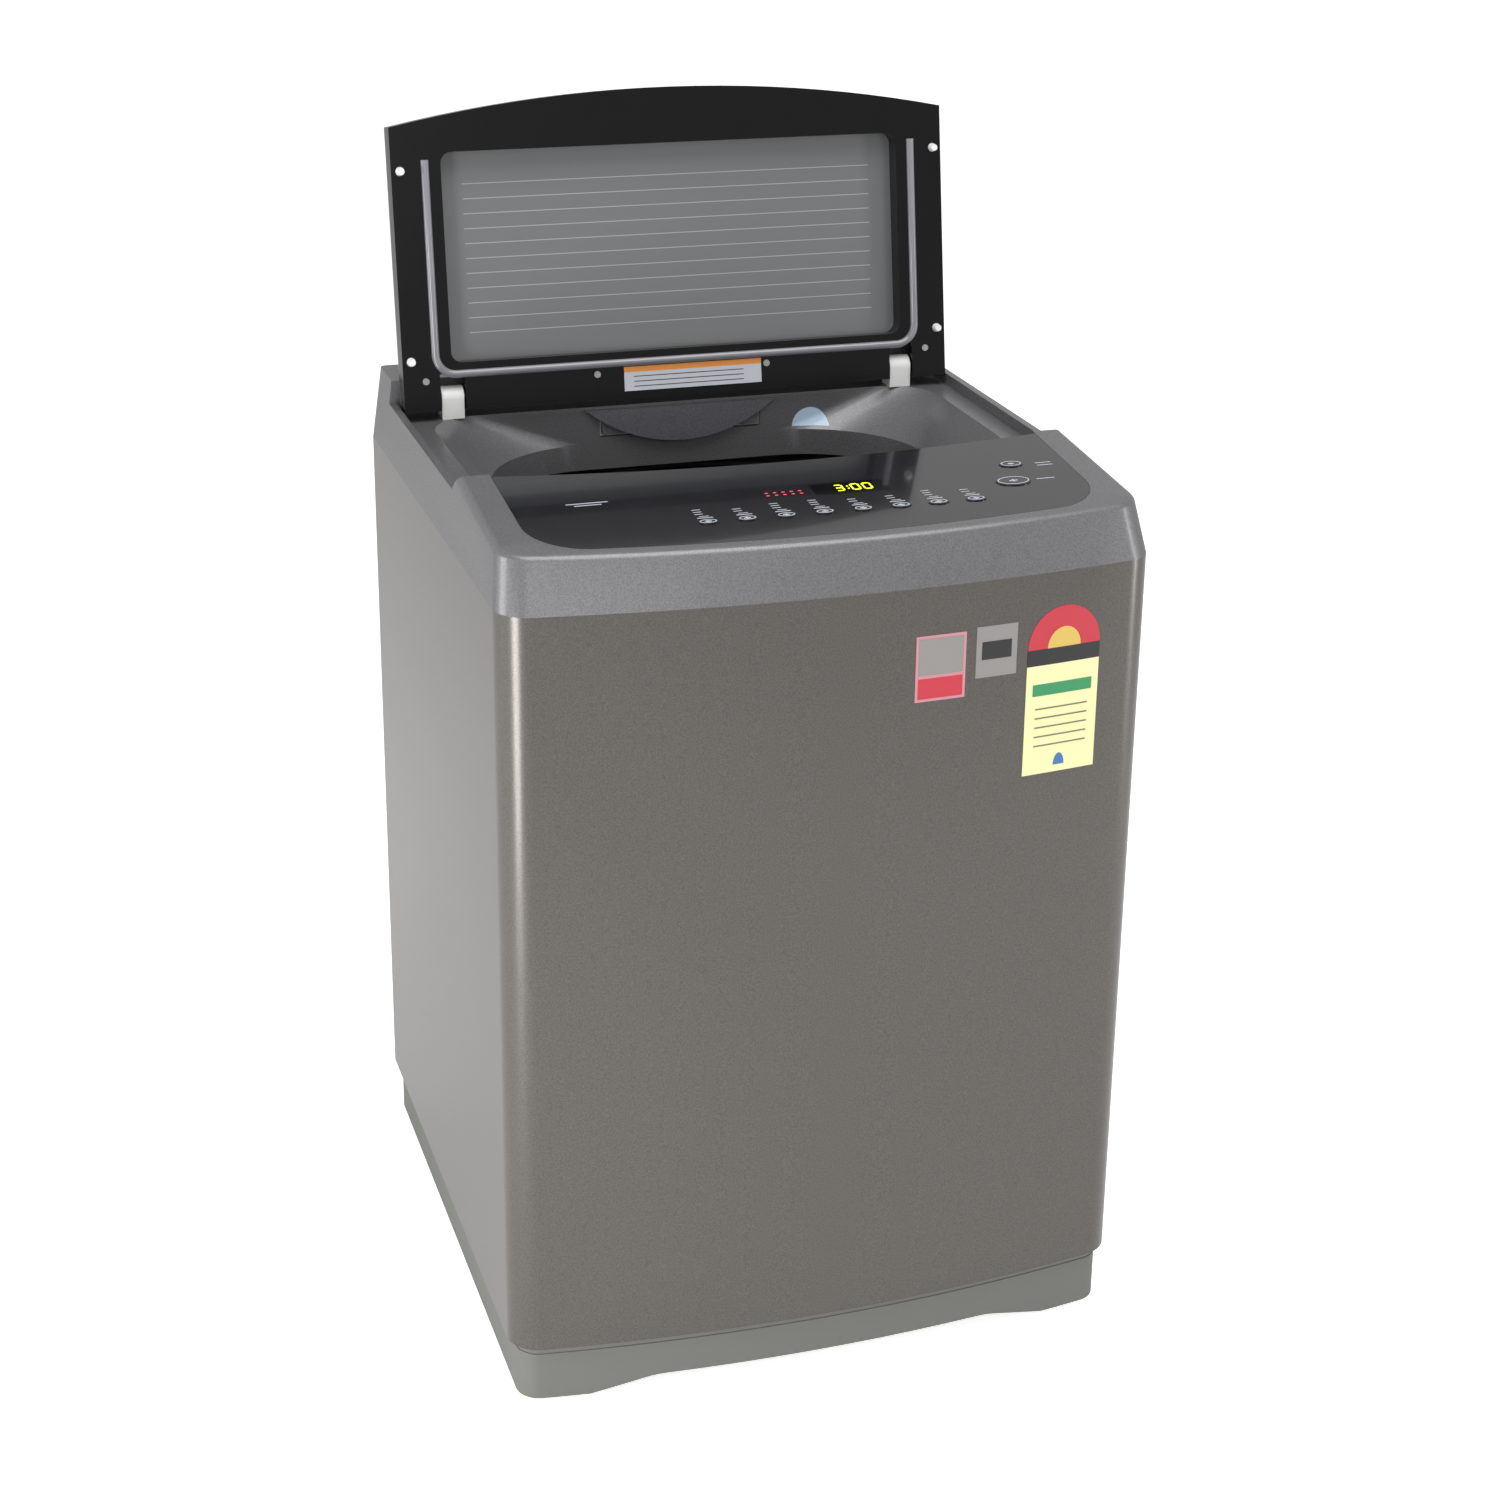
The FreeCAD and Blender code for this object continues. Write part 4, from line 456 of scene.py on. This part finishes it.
for number in range(1, 9):
    key = "program_key_" + str(number)
    finished_copy(key, key_black)
    rim_on_key(key, 7.0 * MM, 3.4 * MM, 5.5 * MM)
finished_copy("start_key", key_black)
rim_on_key("start_key", 13.5 * MM, 7.6 * MM, 7 * MM)
finished_copy("power_key", key_black)
rim_on_key("power_key", 8.8 * MM, 4.9 * MM, 5 * MM)
board_green = moulded("board_green", "#1f5a3a", 0.5, 0.02)
finished_copy("control_board", board_green)


# ------------------------------------------------------------------ lid
# The lid is two mouldings round a pane: a piano-black tray below and a metallic skin above.
# A raised bead round the window guides drips; it is glossy black, and its mid-grey colour is a
# painted highlight. Small nylon bumpers and screws sit at the corners.
tray_black = polished_black("piano_black_tray", "#060608", 0.14, 0.0, 0.3)
lid_grey = metallic_abs("metallic_lid", "#4c4c50", "#55555a", "#434347", 0.2)
# The drip bead is really glossy black: this mid grey is a painted highlight along its length.
bead_painted_highlight = polished_black("piano_black_bead_painted_highlight", "#77767c", 0.08)
nylon = moulded("white_nylon", "#dcdcda", 0.4, 0.01)
finished_copy("lid_inner_tray", tray_black, 24.0)
finished_copy("lid_outer_skin", lid_grey, 24.0)
finished_copy("lid_drip_bead", bead_painted_highlight, 40.0)
finished_copy("lid_bumpers", nylon)
finished_copy("lid_screws", zinc)

smoke_glass, tree, surface, place = new_finish("smoked_lid_pane", {
    "Base Color": linear("#6f7172"), "Roughness": 0.2, "IOR": 1.49,
    "Transmission Weight": 0.12, "Coat Weight": 0.3})
bump(tree, surface, noise(tree, place, 40.0, 1.0).outputs["Fac"], 0.02)
finished_copy("lid_glass", smoke_glass)


# ------------------------------------------------------------------ lines printed on the pane
# Eleven fine pale lines run across the pane, one above the other, printed on its inner face.
# They are stretched along the leaning lid, so they follow its slope exactly.
LINE_COUNT = 11
LINE_THICK = 0.8 * MM
pane_low, pane_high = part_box("lid_glass")
LID_LEAN = math.radians(9)
pane_up = Vector((0, math.sin(LID_LEAN), math.cos(LID_LEAN)))
pane_out = Vector((0, -math.cos(LID_LEAN), math.sin(LID_LEAN)))
pane_foot = Vector((0, pane_low.y, pane_low.z))
pane_long = (pane_high.z - pane_low.z) / math.cos(LID_LEAN)


def pane_bar(form, x, up, wide, high, proud_mm=0.1):
    """Adds a thin bar lying on the pane's inner face to a bmesh."""
    made = bmesh.ops.create_cube(form, size=1.0)["verts"]
    bmesh.ops.scale(form, verts=made, vec=(wide, 0.15 * MM, high))
    bmesh.ops.rotate(form, verts=made, cent=(0, 0, 0), matrix=Matrix.Rotation(-LID_LEAN, 3, "X"))
    place = pane_foot + Vector((x, 0, 0)) + pane_up * up + pane_out * proud_mm * MM
    bmesh.ops.translate(form, verts=made, vec=place)


lines = bmesh.new()
for index in range(LINE_COUNT):
    up = pane_long * (0.16 + 0.66 * index / (LINE_COUNT - 1))
    pane_bar(lines, 0, up, pane_high.x * 2 * 0.87, LINE_THICK)
settle(lines, "pane_lines", vinyl("silver", "#96999b"), "lid", slot="white_plastic")


# ------------------------------------------------------------------ hinge, lock and lid label
# Two white nylon knuckles stand on the seat and hold steel pins; the lock is nylon below a slot.
# A pale paper label with an orange band and ruled lines is glued to the lid beside the hinge.
finished_copy("hinge_knuckles", nylon)
finished_copy("hinge_pins", zinc)
finished_copy("lid_lock", nylon)
LABEL_ORANGE = "#d98a3a"


def strip_bar(form, x, reach, wide, long, proud_mm):
    """Adds a thin bar to a bmesh, on the lid's inner face at a distance up from the hinge axis."""
    made = bmesh.ops.create_cube(form, size=1.0)["verts"]
    bmesh.ops.scale(form, verts=made, vec=(wide, 0.12 * MM, long))
    bmesh.ops.rotate(form, verts=made, cent=(0, 0, 0), matrix=Matrix.Rotation(-LID_LEAN, 3, "X"))
    bmesh.ops.translate(form, verts=made, vec=(
        Vector((x, lid_axis.y, lid_axis.z)) + pane_up * reach + pane_out * (12.0 + proud_mm) * MM))


pin_low, pin_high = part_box("hinge_pins")
lid_axis = (pin_low + pin_high) / 2
paper_label = bmesh.new()
strip_bar(paper_label, 10 * MM, 6 * MM, 130 * MM, 22 * MM, 0.08)
settle(paper_label, "lid_label", print_white, "lid", slot="white_plastic")
orange_band = bmesh.new()
strip_bar(orange_band, 10 * MM, 14.5 * MM, 130 * MM, 5 * MM, 0.16)
settle(orange_band, "lid_label_band", vinyl("orange", LABEL_ORANGE), "lid", slot="white_plastic")
label_rules = bmesh.new()
for row in range(3):
    strip_bar(label_rules, 6 * MM, (8 - 4.5 * row) * MM, 104 * MM, 0.8 * MM, 0.16)
settle(label_rules, "lid_label_rules", vinyl_black, "lid", slot="white_plastic")


# ------------------------------------------------------------------ dispenser and water fittings
# The drawer's crescent front and its tray are satin grey ABS; the housing and valve are off-white.
drawer_grey = metallic_abs("satin_drawer", "#6b6a70", "#737278", "#636268", 0.38)
finished_copy("dispenser_drawer", drawer_grey, 24.0)
off_white = moulded("off_white_moulding", "#b9b9b4", 0.5)
for fitting in ("dispenser_housing", "inlet_valve", "drain_valve", "lint_filters"):
    finished_copy(fitting, off_white)
tub_grey = moulded("tub_polypropylene", "#6f7375", 0.5)
finished_copy("drain_outlet", tub_grey)


# ------------------------------------------------------------------ tub
# The outer tub and its ring are grey polypropylene; under it hang the steel plate, the cast
# gearbox, the enamelled motor and the ribbed rubber belt.
ring_grey = moulded("tub_ring_black", "#2a2a2c", 0.35)
finished_copy("outer_tub", tub_grey)
finished_copy("tub_ring", ring_grey)
finished_copy("support_plate", zinc)
cast_alloy, tree, surface, place = new_finish("cast_alloy", {
    "Base Color": linear("#9fa1a2"), "Metallic": 1.0, "Roughness": 0.5})
bump(tree, surface, noise(tree, place, 1.5, 4.0).outputs["Fac"], 0.15)
for part in ("gearbox_housing", "driven_pulley", "motor_pulley"):
    finished_copy(part, cast_alloy)
enamel = moulded("black_enamel", "#141416", 0.25)
finished_copy("drive_motor", enamel)
finished_copy("drive_belt", foot_rubber)
finished_copy("shaft_seal", foot_rubber)
bright_steel, tree, surface, place = new_finish("ground_steel", {
    "Base Color": linear("#c0c1c2"), "Metallic": 1.0, "Roughness": 0.25})
bump(tree, surface, noise(tree, place, 0.8).outputs["Fac"], 0.01)
for part in ("spin_bearings", "wash_shaft", "spin_shaft"):
    finished_copy(part, bright_steel)


# ------------------------------------------------------------------ basket and balance ring
# The basket wall is brushed stainless sheet punched all over; the ring at its mouth is a glossy
# silver moulding, and the pulsator at the bottom is the same silver plastic.
brushed, tree, surface, place = new_finish("brushed_stainless", {
    "Base Color": linear("#b8b9ba"), "Metallic": 1.0, "Roughness": 0.28, "Anisotropic": 0.6})
stretch = add(tree, "Mapping", {"Scale": (1.0, 1.0, 0.04)}, Vector=place)
streaks = noise(tree, stretch.outputs["Vector"], 0.9, 2.0)
bump(tree, surface, streaks.outputs["Fac"], 0.01)
silver, tree, surface, place = new_finish("silver_moulding", {
    "Base Color": linear("#a2a4a7"), "Metallic": 0.75, "Roughness": 0.2, "Coat Weight": 0.4})
bump(tree, surface, noise(tree, place, 12.0, 1.0).outputs["Fac"], 0.03)
finished_copy("balance_ring", silver, 24.0)
finished_copy("pulsator", silver, 30.0)
finished_copy("pulsator_cap", silver)
finished_copy("basket_floor", brushed)

basket_low, basket_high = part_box("basket")
basket_mid = (basket_low + basket_high) / 2
BASKET_R = (basket_high.x - basket_low.x) / 2
HOLE_COLUMNS = 84
HOLE_ROWS = 26
WALL_INSET = 0.8 * MM    # outside of the basket to the drawn sheet
SHEET_THICK = 0.6 * MM
sheet = bmesh.new()
bmesh.ops.create_grid(sheet, x_segments=HOLE_COLUMNS, y_segments=HOLE_ROWS, size=0.5)
bmesh.ops.inset_individual(sheet, faces=sheet.faces[:], thickness=0.0042, depth=0.0)
inner = [face for face in sheet.faces if face.calc_area() < 0.2 / (HOLE_COLUMNS * HOLE_ROWS)]
bmesh.ops.delete(sheet, geom=inner, context="FACES")
wall_high = basket_high.z - basket_low.z
for vert in sheet.verts:
    angle = vert.co.x * 2 * math.pi
    height = basket_mid.z + vert.co.y * wall_high
    vert.co = Vector((
        basket_mid.x + (BASKET_R - WALL_INSET) * math.cos(angle),
        basket_mid.y + (BASKET_R - WALL_INSET) * math.sin(angle), height))
bmesh.ops.remove_doubles(sheet, verts=sheet.verts, dist=0.01 * MM)
bmesh.ops.solidify(sheet, geom=sheet.faces, thickness=SHEET_THICK)
bmesh.ops.recalc_face_normals(sheet, faces=sheet.faces)
for face in sheet.faces:
    face.smooth = True
for edge in sheet.edges:
    edge.smooth = edge.calc_face_angle(math.pi) < math.radians(35)
settle(sheet, "punched_basket", brushed, "drum", "basket")


# ------------------------------------------------------------------ suspension
# Four plated rods hang from brackets in the corners; coil springs sit in their cups under the
# tub's lugs.
# A rubber bellows joins the tub to the drain.
finished_copy("suspension_brackets", zinc)
finished_copy("suspension_rods", bright_steel)
spring_steel, tree, surface, place = new_finish("oiled_spring_steel", {
    "Base Color": linear("#6b6b6c"), "Metallic": 1.0, "Roughness": 0.35})
bump(tree, surface, noise(tree, place, 1.0).outputs["Fac"], 0.02)


def closes_with_tub(node, material):
    """A finished copy of a part, given a mesh of its own."""
    piece = finished_copy(node, material, 40.0)
    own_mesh(piece)


closes_with_tub("suspension_springs", spring_steel)
closes_with_tub("drain_bellows", foot_rubber)


# ------------------------------------------------------------------ floor, light and camera
# A plain pale floor under large soft lamps: one broad lamp at the left lights the side and rolls
# over the front corner, one above, weak ones at the right and in front, and a low strip whose
# glint runs up the front left corner.
def sees_white(tree, glossy_share):
    """1 for camera and transmission rays, a share of it for glossy rays, and 0 for the rest."""
    rays = add(tree, "LightPath")
    seen = add(tree, "Math", {"operation": "MAXIMUM"})
    tree.links.new(rays.outputs["Is Camera Ray"], seen.inputs[0])
    tree.links.new(rays.outputs["Is Transmission Ray"], seen.inputs[1])
    share = add(tree, "Math", {"operation": "MULTIPLY_ADD"})
    tree.links.new(rays.outputs["Is Glossy Ray"], share.inputs[0])
    share.inputs[1].default_value = glossy_share
    tree.links.new(seen.outputs["Value"], share.inputs[2])
    return share.outputs["Value"]


floor_form = bmesh.new()
bmesh.ops.create_grid(floor_form, x_segments=1, y_segments=1, size=30)
floor_mesh = bpy.data.meshes.new("floor")
floor_form.to_mesh(floor_mesh)
floor_form.free()
floor = bpy.data.objects.new("floor", floor_mesh)
bpy.context.scene.collection.objects.link(floor)
floor_white, tree, surface, place = new_finish("floor_white", {
    "Base Color": linear("#e9e9e9"), "Roughness": 0.9, "Specular IOR Level": 0.1})
whiteness = sees_white(tree, 0.2)
paper = add(tree, "Emission", {"Color": linear("#ffffff"), "Strength": 0.8})
dark = add(tree, "Emission", {"Color": linear("#000000"), "Strength": 0.0})
both = add(tree, "AddShader")
tree.links.new(surface.outputs["BSDF"], both.inputs[0])
lit = add(tree, "MixShader", Fac=whiteness)
tree.links.new(dark.outputs["Emission"], lit.inputs[1])
tree.links.new(paper.outputs["Emission"], lit.inputs[2])
tree.links.new(lit.outputs["Shader"], both.inputs[1])
tree.links.new(both.outputs["Shader"], tree.nodes["Material Output"].inputs["Surface"])
floor_mesh.materials.append(floor_white)

world = bpy.data.worlds.new("studio")
bpy.context.scene.world = world
world.use_nodes = True
tree = world.node_tree
background = tree.nodes["Background"]
background.inputs["Color"].default_value = linear("#ffffff")
whiteness = sees_white(tree, 0.3)
dim = add(tree, "Background", {"Color": linear("#ffffff"), "Strength": 0.42})
white = add(tree, "MixShader", Fac=whiteness)
tree.links.new(dim.outputs["Background"], white.inputs[1])
tree.links.new(background.outputs["Background"], white.inputs[2])
tree.links.new(white.outputs["Shader"], tree.nodes["World Output"].inputs["Surface"])


def lamp(name, place, aim, size, height, watts):
    """A rectangular soft lamp at a place, turned to aim at a point."""
    data = bpy.data.lights.new(name, "AREA")
    data.shape = "RECTANGLE"
    data.size = size
    data.size_y = height
    data.energy = watts
    lamp_object = bpy.data.objects.new(name, data)
    lamp_object.location = place
    lamp_object.visible_camera = False
    lamp_object.rotation_euler = (Vector(aim) - Vector(place)).to_track_quat("-Z", "Y").to_euler()
    bpy.context.scene.collection.objects.link(lamp_object)


lamp("left_bank", (-2.6, 0.1, 1.2), (0, 0, 0.6), 0.9, 1.6, 25)
lamp("overhead", (0.2, -0.6, 3.0), (0, 0, 0.5), 2.0, 2.0, 52)
lamp("right_strip", (2.0, -1.1, 0.7), (0.25, -0.2, 0.45), 0.3, 1.8, 16)
lamp("front_fill", (-0.6, -4.0, 2.2), (0, 0, 0.5), 2.0, 2.0, 24)
lamp("corner_strip", (-1.25, -0.95, 0.35), (-0.25, -0.22, 0.5), 0.4, 1.3, 17)

CAMERA_PLACE = Vector((-0.683, -2.105, 1.392))
CAMERA_YAW = math.radians(18.18)
CAMERA_PITCH = math.radians(19.46)
CAMERA_ROLL = math.radians(0.75)
camera_data = bpy.data.cameras.new("camera")
camera_data.sensor_width = 36
camera_data.lens = 64.85
camera_data.shift_y = -0.1
camera = bpy.data.objects.new("camera", camera_data)
ahead = Vector((
    math.sin(CAMERA_YAW) * math.cos(CAMERA_PITCH),
    math.cos(CAMERA_YAW) * math.cos(CAMERA_PITCH), -math.sin(CAMERA_PITCH)))
camera.location = CAMERA_PLACE
facing = ahead.to_track_quat("-Z", "Y").to_matrix() @ Matrix.Rotation(CAMERA_ROLL, 3, "Z")
camera.rotation_euler = facing.to_euler()
bpy.context.scene.collection.objects.link(camera)
bpy.context.scene.camera = camera
bpy.context.scene.view_settings.view_transform = "Standard"
